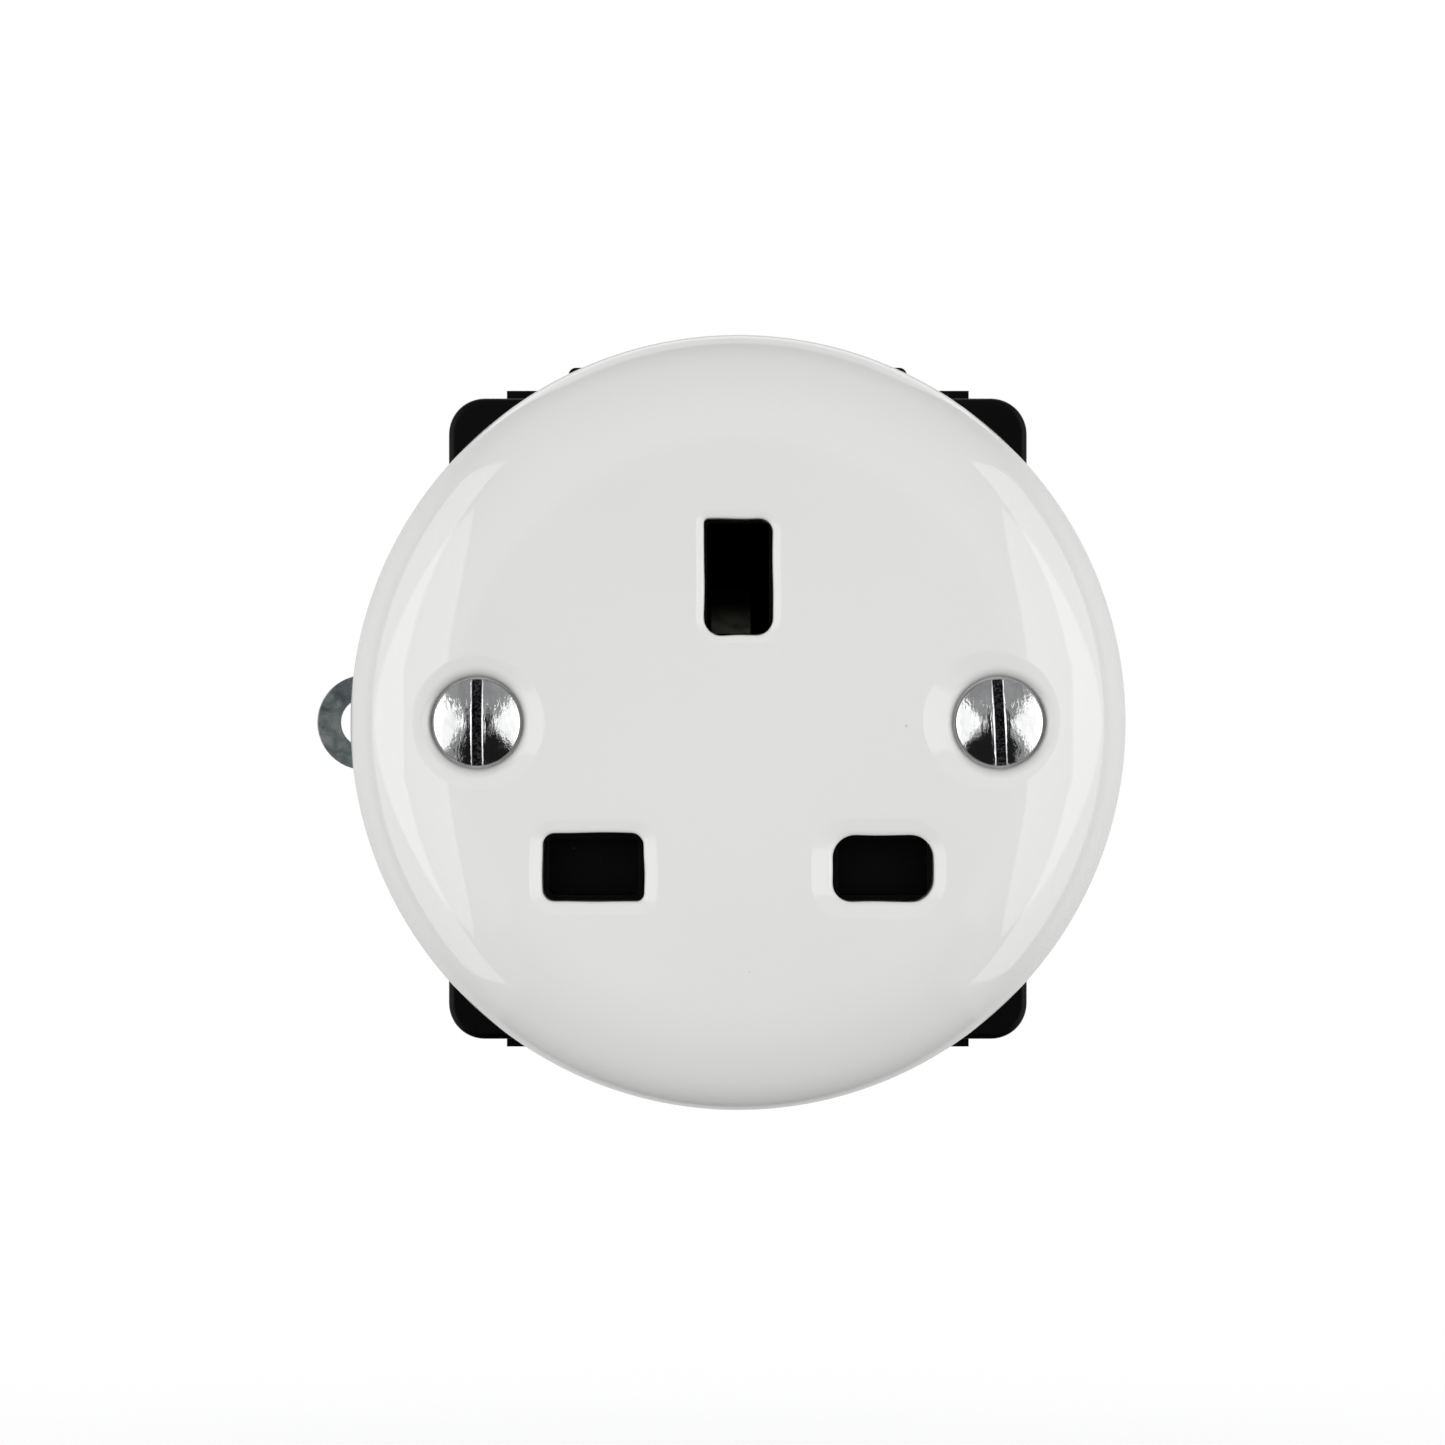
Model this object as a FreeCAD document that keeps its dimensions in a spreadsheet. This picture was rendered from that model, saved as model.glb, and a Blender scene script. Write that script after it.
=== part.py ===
import FreeCAD, Part
import math
import os
import Sketcher

# A round flush socket for three flat pins. A glazed porcelain disc is held by two slotted
# screws in front of a black moulded mechanism, which hangs in the wall box by a steel strap.
# The wall plane is Y = 0, the face looks along -Y and the earth slot is at the top, +Z.
# Lengths are in millimetres and angles in degrees.

COVER_SIZES = {
    "face_height": 11.0,
    "shoulder_run": 9.0,
    "shoulder_depth": 6.4,
    "shoulder_turn": 35.0,
    "rim_gap": 0.4,
    "rim_draft": 0.4,
    "rim_round": 0.7,
    "rim_width": 3.8,
    "cup_round": 1.4,
    "cover_wall": 3.6,
    "pillar_gap": 0.3,
    "pillar_radius": 3.7,
    "screw_hole_radius": 2.1,
    "dish_radius": 5.3,
    "dish_margin": 4.7,
    "dish_depth": 0.65,
    "dish_curve": 3.0,
    "dish_floor_radius": 3.95,
    "glaze_round": 0.45,
    "neutral_slot_width": 7.8,
    "neutral_slot_height": 5.25,
    "neutral_slot_corner": 0.62,
    "neutral_slot_sharp_corner": 0.35,
    "live_slot_width": 7.55,
    "live_slot_height": 5.05,
    "live_slot_corner": 1.05,
    "earth_slot_width": 5.2,
    "earth_slot_height": 8.8,
    "earth_slot_corner": 1.05,
    "earth_slot_sharp_corner": 0.35,
}

SCREW_SIZES = {
    "head_radius": 3.4,
    "head_dome": 1.1,
    "head_rim": 0.2,
    "head_sink": 1.3,
    "shank_radius": 1.75,
    "screw_length": 15.6,
    "screw_tip": 0.4,
    "screw_slot_width": 0.85,
    "screw_slot_depth": 1.15,
    "screw_slot_lip": 0.1,
    "seat_play": 0.05,
    "thread_play": 0.04,
    "left_screw_turn": 0.0,
    "right_screw_turn": -3.0,
    "nut_radius": 2.6,
    "nut_collar_radius": 2.2,
    "nut_length": 5.0,
}

STRAP_SIZES = {
    "strap_thickness": 1.2,
    "strap_inset": 2.4,
    "window_play": 0.4,
    "lug_reach": 29.1,
    "lug_radius": 3.7,
    "lug_hole_radius": 1.9,
    "fork_inset": 0.6,
    "fork_bottom": 27.4,
    "strap_screw_z": 12.5,
    "small_shank_radius": 1.2,
    "small_head_radius": 2.2,
    "strap_screw_length": 5.4,
    "tail_width": 4.0,
    "tail_gap": 0.6,
    "tail_bend": 0.6,
    "tail_relief": 0.6,
}

MECHANISM_SIZES = {
    "pin_pitch": 11.1,
    "mechanism_rise": 0.3,
    "flange_border": 5.6,
    "flange_rise": 2.55,
    "flange_corner": 2.8,
    "flange_edge": 0.5,
    "flange_wall": 1.6,
    "flange_plate": 2.5,
    "flange_depth": 6.5,
    "joint_depth": 4.9,
    "skirt_corner": 1.4,
    "rear_flange_corner": 1.2,
    "ledge_width": 36.2,
    "ledge_proud": 0.65,
    "ledge_front": 1.4,
    "ledge_depth": 2.2,
    "boss_side": 1.45,
    "cavity_head": 0.65,
    "boss_corner": 3.4,
    "boss_wall": 1.0,
    "boss_gap": 0.3,
    "boss_plate": 2.6,
    "cavity_corner": 2.0,
    "core_corner": 1.9,
    "core_play": 0.1,
    "line_pin_width": 6.9,
    "line_pin_height": 4.4,
    "earth_pin_width": 4.8,
    "earth_pin_height": 8.5,
    "pin_hole_corner": 0.4,
    "nut_play": 0.3,
    "pilot_depth": 1.0,
    "corner_screw_inset": 2.6,
    "corner_screw_drop": 4.75,
    "corner_pillar_radius": 2.6,
    "corner_pillar_round": 1.3,
    "fit_play": 0.2,
    "small_screw_play": 0.05,
    "pilot_play": 0.2,
}

SHUTTER_SIZES = {
    "shutter_play": 0.2,
    "shutter_thickness": 2.0,
    "shutter_travel": 4.6,
    "shutter_lap": 0.5,
    "shutter_top_lap": 0.2,
    "shutter_corner": 1.8,
    "shutter_top_corner": 0.45,
    "stem_half_width": 3.0,
    "stem_window_half_width": 1.25,
    "stem_window_bottom": 6.95,
    "stem_window_top": 4.0,
    "ramp_left": 2.1,
    "ramp_right": 1.0,
    "ramp_base": 0.4,
    "guide_thickness": 1.4,
    "way_play": 0.1,
    "post_half_width": 1.0,
    "post_height": 1.5,
    "post_top": 5.0,
    "spring_radius": 0.8,
    "spring_wire_radius": 0.2,
    "spring_turns": 6.0,
    "spring_play": 0.05,
}

HOUSING_SIZES = {
    "housing_wall": 1.9,
    "housing_floor": 1.6,
    "housing_back": 22.4,
    "housing_corner": 2.0,
    "bay_wall": 4.6,
    "bay_head": 2.2,
    "bay_corner": 0.6,
    "back_plate": 1.6,
    "chamber_half_width": 3.8,
    "chamber_half_height": 3.9,
    "earth_chamber_half_width": 3.4,
    "earth_chamber_half_height": 4.6,
    "contact_plane": 14.0,
    "contact_thickness": 0.6,
    "line_contact_inset": 1.5,
    "line_contact_width": 5.8,
    "line_contact_gap": 3.7,
    "earth_contact_inset": 0.7,
    "earth_contact_width": 7.6,
    "earth_contact_gap": 3.7,
    "contact_flare": 0.7,
    "contact_flare_length": 2.0,
    "line_tail_reach": 8.75,
    "earth_tail_reach": 23.0,
    "block_depth": 7.0,
    "block_width": 7.4,
    "block_height": 8.0,
    "block_corner": 0.5,
    "line_block_drop": 5.5,
    "earth_block_rise": 21.6,
    "earth_block_width": 17.0,
    "earth_screw_spacing": 9.6,
    "wire_hole_radius": 1.9,
    "wire_hole_setback": 2.8,
    "wire_entry_half": 2.4,
    "terminal_shank_radius": 1.7,
    "terminal_head_radius": 2.6,
    "terminal_head_height": 1.5,
    "terminal_head_gap": 0.4,
    "terminal_tip_gap": 0.1,
    "terminal_slot_width": 0.8,
    "terminal_slot_depth": 0.8,
    "access_radius": 3.1,
    "block_play": 0.3,
    "core_out_wall": 1.6,
    "core_out_front": 9.0,
    "plate_screw_gap": 3.6,
    "plate_screw_z": 12.0,
    "plate_screw_length": 6.0,
    "corner_head_radius": 2.0,
    "corner_head_height": 1.5,
    "corner_head_round": 0.75,
    "drive_slot_width": 0.6,
    "drive_slot_depth": 0.6,
}

ALL_SIZES = (COVER_SIZES, SCREW_SIZES, STRAP_SIZES, MECHANISM_SIZES, SHUTTER_SIZES, HOUSING_SIZES)

doc = FreeCAD.newDocument("FlushSocket")
dims = doc.addObject("Spreadsheet::Sheet", "Dims")
pieces = []


def fill_sheet():
    """Writes every size into its own cell, named by its alias."""
    row = 0
    for group in ALL_SIZES:
        for alias, number in group.items():
            row += 1
            dims.set(f"A{row}", alias)
            dims.set(f"B{row}", str(number))
            dims.setAlias(f"B{row}", alias)
    doc.recompute()


fill_sheet()

# Levels along Y that several pieces share, as expressions on the sheet.
FACE = "(-Dims.face_height)"
INNER_FACE = "(Dims.cover_wall - Dims.face_height)"
STRAP_FRONT = "(-Dims.strap_thickness)"
RIM_BACK = f"({STRAP_FRONT} - Dims.rim_gap)"
BOSS_FRONT = f"({INNER_FACE} + Dims.boss_gap)"
BOSS_INSIDE = f"({BOSS_FRONT} + Dims.boss_plate)"
SHUTTER_FRONT = f"({BOSS_INSIDE} + Dims.shutter_play)"
SHUTTER_BACK = f"({SHUTTER_FRONT} + Dims.shutter_thickness)"
GUIDE_FRONT = f"({SHUTTER_BACK} + Dims.shutter_play)"
GUIDE_BACK = f"({GUIDE_FRONT} + Dims.guide_thickness)"
CORE_FRONT = f"({GUIDE_BACK} + Dims.core_play)"
RAMP_BACK = f"({SHUTTER_FRONT} + Dims.shutter_travel)"
LINE_CONTACT_FRONT = f"({GUIDE_BACK} + Dims.line_contact_inset)"
EARTH_CONTACT_FRONT = f"({RAMP_BACK} + Dims.earth_contact_inset)"
PILLAR_BACK = "Dims.joint_depth"
HEAD_PLANE = f"({FACE} + Dims.head_sink)"
BLOCK_FRONT = "(Dims.contact_plane + Dims.contact_thickness)"
BLOCK_BACK = f"({BLOCK_FRONT} + Dims.block_depth)"
BACK_PLATE_BACK = "(Dims.housing_back + Dims.back_plate)"

# The shutter's blind bar covers both lower pin holes, and the ramp stands in the earth hole.
BAR_BOTTOM = "(-Dims.pin_pitch - Dims.line_pin_height / 2 - Dims.shutter_lap)"
BAR_TOP = "(-Dims.pin_pitch + Dims.line_pin_height / 2 + Dims.shutter_top_lap)"
RAMP_FOOT = "(Dims.pin_pitch - Dims.earth_pin_height / 2)"
RAMP_TOP = f"({RAMP_FOOT} + Dims.shutter_travel)"

# The boss's cavity holds the shutter's whole travel, and the boss is a wall round it.
CAVITY_BOTTOM = f"({BAR_BOTTOM} - Dims.shutter_travel - Dims.shutter_play)"
CAVITY_TOP = "(Dims.pin_pitch + Dims.earth_pin_height / 2 + Dims.cavity_head)"
BOSS_BOTTOM = f"({CAVITY_BOTTOM} - Dims.boss_wall)"
BOSS_TOP = f"({CAVITY_TOP} + Dims.boss_wall)"
BOSS_HALF = "(Dims.pin_pitch + Dims.line_pin_width / 2 + Dims.boss_side)"
CAVITY_HALF = f"({BOSS_HALF} - Dims.boss_wall)"

# The cover's pillars stand beside the boss, and the disc reaches past their dishes.
SCREW_REACH = f"({BOSS_HALF} + Dims.pillar_gap + Dims.pillar_radius)"
DISC_RADIUS = f"({SCREW_REACH} + Dims.dish_radius + Dims.dish_margin)"
FLAT_RADIUS = f"({DISC_RADIUS} - Dims.shoulder_run)"
CUP_RADIUS = f"({DISC_RADIUS} - Dims.rim_width)"
STRAP_RADIUS = f"({DISC_RADIUS} - Dims.strap_inset)"
FORK_REACH = f"({DISC_RADIUS} - Dims.fork_inset)"

# The rear housing is a wall round its terminals, and the flange is a border round the housing.
LINE_BLOCK_UP = "(-Dims.pin_pitch - Dims.line_block_drop)"
LINE_WELL_OUTER = "(Dims.pin_pitch + Dims.block_width / 2 + Dims.block_play)"
LINE_WELL_BOTTOM = f"({LINE_BLOCK_UP} - Dims.block_height / 2 - Dims.block_play)"
EARTH_WELL_HALF = "(Dims.earth_block_width / 2 + Dims.block_play)"
EARTH_WELL_TOP = "(Dims.earth_block_rise + Dims.block_height / 2 + Dims.block_play)"
HOUSING_HALF = f"({LINE_WELL_OUTER} + Dims.housing_wall)"
HOUSING_HALF_HEIGHT = f"(Dims.housing_floor - {LINE_WELL_BOTTOM})"
BAY_HALF = f"({EARTH_WELL_HALF} + Dims.bay_wall)"
BAY_TOP = f"({EARTH_WELL_TOP} + Dims.bay_head)"
PLATE_SCREW_X = f"({EARTH_WELL_HALF} + Dims.plate_screw_gap)"
FLANGE_WIDTH = f"(2 * ({HOUSING_HALF} + Dims.flange_border))"
FLANGE_HEIGHT = f"(2 * ({HOUSING_HALF_HEIGHT} + Dims.flange_rise))"
CORNER_SCREW_X = f"({HOUSING_HALF} + Dims.corner_screw_inset)"
CORNER_SCREW_Z = f"({FLANGE_HEIGHT} / 2 - Dims.corner_screw_drop)"
CORE_OUT_INNER = "(Dims.earth_chamber_half_width + Dims.core_out_wall)"
CORE_OUT_OUTER = f"({HOUSING_HALF} - Dims.core_out_wall)"
CORE_OUT_HALF_HEIGHT = "(Dims.pin_pitch - Dims.chamber_half_height - Dims.core_out_wall)"

PLANES = {"X": "YZ_Plane", "Y": "XZ_Plane", "Z": "XY_Plane"}
WHOLE_TURN = 360
CLEAR = 1.0


def value(expression):
    """The number that an expression on the sheet gives."""
    return float(dims.evalExpression(str(expression)))


def new_body(label):
    """A piece of its own, made of PartDesign features."""
    body = doc.addObject("PartDesign::Body", label)
    body.Label = label
    pieces.append(body)
    return body


def new_sketch(body, name, normal, place, aside="0"):
    """A sketch square to an axis, at a place along it. aside moves it along X."""
    sketch = body.newObject("Sketcher::SketchObject", name)
    plane = [feature for feature in body.Origin.OriginFeatures if feature.Role == PLANES[normal]]
    sketch.AttachmentSupport = [(plane[0], "")]
    sketch.MapMode = "FlatFace"
    sign = "-" if normal == "Y" else ""
    sketch.setExpression(".AttachmentOffset.Base.z", f"{sign}({place})")
    sketch.setExpression(".AttachmentOffset.Base.x", str(aside))
    return sketch


def bind(sketch, constraint, expression):
    """Adds a constraint to a sketch and ties its size to the sheet."""
    index = sketch.addConstraint(constraint)
    sketch.setExpression(f"Constraints[{index}]", str(expression))


def pin_point(sketch, geometry, end, across, up):
    """Holds one point of a sketch at its two coordinates."""
    bind(sketch, Sketcher.Constraint("DistanceX", -1, 1, geometry, end, value(across)), across)
    bind(sketch, Sketcher.Constraint("DistanceY", -1, 1, geometry, end, value(up)), up)


def arc_between(start, end, radius, turn):
    """The short arc from one point to another, turning to the left or to the right."""
    chord = end - start
    half = chord.Length / 2
    rise = math.sqrt(max(radius * radius - half * half, 0.0))
    side = 1 if turn == "left" else -1
    across = FreeCAD.Vector(-chord.y, chord.x, 0).normalize() * (rise * side)
    centre = (start + end) * 0.5 + across
    first, last = (start, end) if turn == "left" else (end, start)
    low = math.atan2(first.y - centre.y, first.x - centre.x)
    high = math.atan2(last.y - centre.y, last.x - centre.x)
    if high < low:
        high += 2 * math.pi
    circle = Part.Circle(centre, FreeCAD.Vector(0, 0, 1), radius)
    return Part.ArcOfCircle(circle, low, high)


def outline(sketch, steps):
    """A closed outline. A step is a point, or a point with the arc that leads on from it.

    A plain step is (across, up). With an arc it is (across, up, radius, "left" or "right").
    """
    corners = [FreeCAD.Vector(value(step[0]), value(step[1]), 0) for step in steps]
    ends = []
    for number, step in enumerate(steps):
        start = corners[number]
        end = corners[(number + 1) % len(steps)]
        if len(step) == 2:
            geometry = sketch.addGeometry(Part.LineSegment(start, end), False)
            ends.append((geometry, 1, 2))
            continue
        geometry = sketch.addGeometry(arc_between(start, end, value(step[2]), step[3]), False)
        ends.append((geometry, 1, 2) if step[3] == "left" else (geometry, 2, 1))
    for number, (geometry, start, end) in enumerate(ends):
        following, first, last = ends[(number + 1) % len(ends)]
        sketch.addConstraint(Sketcher.Constraint("Coincident", geometry, end, following, first))
        pin_point(sketch, geometry, start, steps[number][0], steps[number][1])
        if len(steps[number]) == 4:
            radius = steps[number][2]
            bind(sketch, Sketcher.Constraint("Radius", geometry, value(radius)), radius)


def box(sketch, left, right, bottom, top, corners=None):
    """A rectangle. corners gives one radius, or four from the lower left one round."""
    if corners is None:
        outline(sketch, [(left, bottom), (right, bottom), (right, top), (left, top)])
        return
    radii = [corners] * 4 if isinstance(corners, str) else corners
    lower_left, lower_right, upper_right, upper_left = radii
    outline(sketch, [
        (f"{left} + {lower_left}", bottom),
        (f"{right} - {lower_right}", bottom, lower_right, "left"),
        (right, f"{bottom} + {lower_right}"),
        (right, f"{top} - {upper_right}", upper_right, "left"),
        (f"{right} - {upper_right}", top),
        (f"{left} + {upper_left}", top, upper_left, "left"),
        (left, f"{top} - {upper_left}"),
        (left, f"{bottom} + {lower_left}", lower_left, "left"),
    ])


def box_about(sketch, across, up, width, height, corners=None):
    """A rectangle about a centre."""
    left = f"({across} - {width} / 2)"
    right = f"({across} + {width} / 2)"
    bottom = f"({up} - {height} / 2)"
    top = f"({up} + {height} / 2)"
    box(sketch, left, right, bottom, top, corners)


def circle(sketch, across, up, radius):
    """A whole circle about a centre."""
    centre = FreeCAD.Vector(value(across), value(up), 0)
    ring = Part.Circle(centre, FreeCAD.Vector(0, 0, 1), value(radius))
    geometry = sketch.addGeometry(ring, False)
    pin_point(sketch, geometry, 3, across, up)
    bind(sketch, Sketcher.Constraint("Radius", geometry, value(radius)), radius)


def half_round_notch(sketch, bottom, mouth, up, radius):
    """A notch from a half round bottom out to its open mouth, along the sketch's first axis."""
    side = "left" if value(mouth) < value(bottom) else "right"
    sign = "-" if side == "right" else "+"
    outline(sketch, [
        (mouth, f"{up} - {radius}"),
        (bottom, f"{up} - {radius}", radius, side),
        (f"{bottom} {sign} {radius}", up, radius, side),
        (bottom, f"{up} + {radius}"),
        (mouth, f"{up} + {radius}"),
    ])


def pad(body, name, sketch, length):
    """Adds material from a sketch: forward from one that faces -Y, or up or to the right."""
    feature = body.newObject("PartDesign::Pad", name)
    feature.Profile = sketch
    feature.setExpression("Length", str(length))
    return feature


def pocket(body, name, sketch, length):
    """Cuts from a sketch: backward from one that faces -Y, or down or to the left."""
    feature = body.newObject("PartDesign::Pocket", name)
    feature.Profile = sketch
    feature.setExpression("Length", str(length))
    return feature


def turn_solid(body, name, sketch, kind="PartDesign::Revolution"):
    """Turns a sketch about its own upright axis, to add material or to cut it."""
    feature = body.newObject(kind, name)
    feature.Profile = sketch
    feature.ReferenceAxis = (sketch, ["V_Axis"])
    feature.Angle = WHOLE_TURN
    return feature


def dress(body, name, kind, size, expression, wanted):
    """Rounds or bevels the edges of a body that a test picks out."""
    doc.recompute()
    base = body.Tip
    edges = [f"Edge{number}" for number, edge in enumerate(base.Shape.Edges, 1) if wanted(edge)]
    feature = body.newObject(kind, name)
    feature.Base = (base, edges)
    feature.setExpression(size, str(expression))
    return feature


def round_edges(body, name, radius, wanted):
    """Fillets the edges that a test picks out."""
    return dress(body, name, "PartDesign::Fillet", "Radius", radius, wanted)


def bevel_edges(body, name, size, wanted):
    """Chamfers the edges that a test picks out."""
    return dress(body, name, "PartDesign::Chamfer", "Size", size, wanted)


def at_level(edge, level, slack=0.01):
    """Does an edge lie in the plane square to Y at this level?"""
    return abs(edge.BoundBox.YMin - level) < slack and abs(edge.BoundBox.YMax - level) < slack


def edge_within(edge, across, up, half_width, half_height):
    """Does an edge, seen from the front, lie inside a rectangle about a centre?"""
    bounds = edge.BoundBox
    if abs(bounds.XMin - across) > half_width or abs(bounds.XMax - across) > half_width:
        return False
    return abs(bounds.ZMin - up) <= half_height and abs(bounds.ZMax - up) <= half_height


def place(body, across="0", back="0", up="0", turn="0"):
    """Puts a piece that is modelled about its own axis where it belongs."""
    body.Placement = FreeCAD.Placement(
        FreeCAD.Vector(value(across), value(back), value(up)),
        FreeCAD.Rotation(FreeCAD.Vector(0, 1, 0), value(turn)),
    )
    body.setExpression(".Placement.Base.x", str(across))
    body.setExpression(".Placement.Base.y", str(back))
    body.setExpression(".Placement.Base.z", str(up))
    if value(turn):
        body.setExpression(".Placement.Rotation.Angle", f"{turn} * 1 deg")


def shoulder_radii():
    """The two tangent arcs that carry the face round to the disc's side."""
    sine = "sin(Dims.shoulder_turn * 1 deg)"
    cosine = "cos(Dims.shoulder_turn * 1 deg)"
    run = "Dims.shoulder_run"
    above = f"(Dims.shoulder_depth * {sine} - {run} * (1 - {cosine}))"
    below = f"({cosine} * {sine} - (1 - {sine}) * (1 - {cosine}))"
    side_arc = f"({above} / {below})"
    face_arc = f"(({run} - {side_arc} * (1 - {sine})) / {sine})"
    joint_across = f"({FLAT_RADIUS} + {face_arc} * {sine})"
    joint_back = f"({FACE} + {face_arc} * (1 - {cosine}))"
    return face_arc, side_arc, joint_across, joint_back


def porcelain_cover():
    """The glazed disc: a shallow cup with pin slots, and two pillars that stand on the strap."""
    body = new_body("porcelain_cover")
    face_arc, side_arc, joint_across, joint_back = shoulder_radii()
    section = new_sketch(body, "cover_section", "Z", "0")
    outline(section, [
        ("0", FACE),
        (FLAT_RADIUS, FACE, face_arc, "left"),
        (joint_across, joint_back, side_arc, "left"),
        (DISC_RADIUS, f"{FACE} + Dims.shoulder_depth"),
        (f"{DISC_RADIUS} - Dims.rim_draft", f"{RIM_BACK} - Dims.rim_round", "Dims.rim_round", "left"),
        (f"{DISC_RADIUS} - Dims.rim_draft - Dims.rim_round", RIM_BACK),
        (CUP_RADIUS, RIM_BACK),
        (CUP_RADIUS, f"{INNER_FACE} + Dims.cup_round", "Dims.cup_round", "right"),
        (f"{CUP_RADIUS} - Dims.cup_round", INNER_FACE),
        ("0", INNER_FACE),
    ])
    turn_solid(body, "cover_cup", section)
    pillars = new_sketch(body, "pillar_outlines", "Y", STRAP_FRONT)
    for side in ("-", ""):
        circle(pillars, f"{side}{SCREW_REACH}", "0", "Dims.pillar_radius")
    pad(body, "pillars", pillars, f"{STRAP_FRONT} - {INNER_FACE} + {CLEAR}")
    for side, name in (("-", "left"), ("", "right")):
        seat = new_sketch(body, f"{name}_seat_section", "Z", "0", f"{side}{SCREW_REACH}")
        cone_wide = "(Dims.head_radius + Dims.seat_play)"
        cone_depth = f"({cone_wide} - Dims.screw_hole_radius)"
        outline(seat, [
            ("0", f"{FACE} - {CLEAR}"),
            ("Dims.dish_radius", f"{FACE} - {CLEAR}"),
            ("Dims.dish_radius", FACE, "Dims.dish_curve", "right"),
            ("Dims.dish_floor_radius", f"{FACE} + Dims.dish_depth"),
            (cone_wide, HEAD_PLANE),
            ("Dims.screw_hole_radius", f"{HEAD_PLANE} + {cone_depth}"),
            ("Dims.screw_hole_radius", "0"),
            ("0", "0"),
        ])
        turn_solid(body, f"{name}_screw_seat", seat, "PartDesign::Groove")
    slots = new_sketch(body, "slot_outlines", "Y", f"{FACE} - {CLEAR}")
    sharp = "Dims.neutral_slot_sharp_corner"
    soft = "Dims.neutral_slot_corner"
    box_about(slots, "-Dims.pin_pitch", "-Dims.pin_pitch", "Dims.neutral_slot_width",
              "Dims.neutral_slot_height", [soft, sharp, soft, soft])
    box_about(slots, "Dims.pin_pitch", "-Dims.pin_pitch", "Dims.live_slot_width",
              "Dims.live_slot_height", "Dims.live_slot_corner")
    soft = "Dims.earth_slot_corner"
    box_about(slots, "0", "Dims.pin_pitch", "Dims.earth_slot_width", "Dims.earth_slot_height",
              [soft, soft, soft, "Dims.earth_slot_sharp_corner"])
    pocket(body, "pin_slots", slots, f"Dims.cover_wall + {2 * CLEAR}")
    pitch = value("Dims.pin_pitch")
    reach = value("Dims.earth_slot_height") / 2 + value("Dims.glaze_round")
    face = value(FACE)

    def slot_edge(edge):
        if not at_level(edge, face):
            return False
        return any(edge_within(edge, across, up, reach, reach)
                   for across, up in ((-pitch, -pitch), (pitch, -pitch), (0, pitch)))

    round_edges(body, "glazed_slot_edges", "Dims.glaze_round", slot_edge)
    return body


def cover_screw(name, side, turn):
    """A slotted screw with a raised countersunk head, modelled about its own axis."""
    body = new_body(name)
    section = new_sketch(body, f"{name}_section", "Z", "0")
    rim = "(Dims.head_radius - Dims.head_rim)"
    dome = f"(({rim} * {rim} + Dims.head_dome * Dims.head_dome) / (2 * Dims.head_dome))"
    neck = "(Dims.head_radius - Dims.shank_radius)"
    outline(section, [
        ("0", "-Dims.head_dome - Dims.head_rim", dome, "left"),
        (rim, "-Dims.head_rim", "Dims.head_rim", "left"),
        ("Dims.head_radius", "0"),
        ("Dims.shank_radius", neck),
        ("Dims.shank_radius", "Dims.screw_length - Dims.screw_tip"),
        ("Dims.shank_radius - Dims.screw_tip", "Dims.screw_length"),
        ("0", "Dims.screw_length"),
    ])
    turn_solid(body, f"{name}_blank", section)
    top = "(-Dims.head_dome - Dims.head_rim)"
    slot = new_sketch(body, f"{name}_slot_outline", "Y", f"{top} - {CLEAR}")
    box_about(slot, "0", "0", "Dims.screw_slot_width", f"(2 * Dims.head_radius + {CLEAR})")
    pocket(body, f"{name}_slot", slot, f"Dims.screw_slot_depth + {CLEAR}")
    half = value("Dims.screw_slot_width") / 2
    rim_level = -value("Dims.head_rim")

    def lip(edge):
        bounds = edge.BoundBox
        beside = abs(abs(bounds.XMin) - half) < 0.01 and abs(bounds.XMin - bounds.XMax) < 0.01
        return beside and bounds.ZLength > half and bounds.YMin < 1.25 * rim_level

    round_edges(body, f"{name}_slot_lips", "Dims.screw_slot_lip", lip)
    place(body, f"{side}{SCREW_REACH}", HEAD_PLANE, "0", turn)


def strap_nut(name, side):
    """A threaded bush clinched in the strap, which the cover screw runs into."""
    body = new_body(name)
    bore = "(Dims.shank_radius + Dims.thread_play)"
    section = new_sketch(body, f"{name}_section", "Z", "0")
    outline(section, [
        (bore, STRAP_FRONT),
        ("Dims.nut_collar_radius", STRAP_FRONT),
        ("Dims.nut_collar_radius", "0"),
        ("Dims.nut_radius", "0"),
        ("Dims.nut_radius", "Dims.nut_length"),
        (bore, "Dims.nut_length"),
    ])
    turn_solid(body, f"{name}_bush", section)
    place(body, f"{side}{SCREW_REACH}")


def boss_outline(sketch, grow="0"):
    """The raised boss's outline, grown by a clearance."""
    box(sketch, f"-{BOSS_HALF} - {grow}", f"{BOSS_HALF} + {grow}",
        f"{BOSS_BOTTOM} - {grow}", f"{BOSS_TOP} + {grow}", f"(Dims.boss_corner + {grow})")


def strap_screw_places():
    """Where the two strap screws stand, on a diagonal."""
    return ((f"-{CORNER_SCREW_X}", "Dims.strap_screw_z"),
            (CORNER_SCREW_X, "-Dims.strap_screw_z"))


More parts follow.
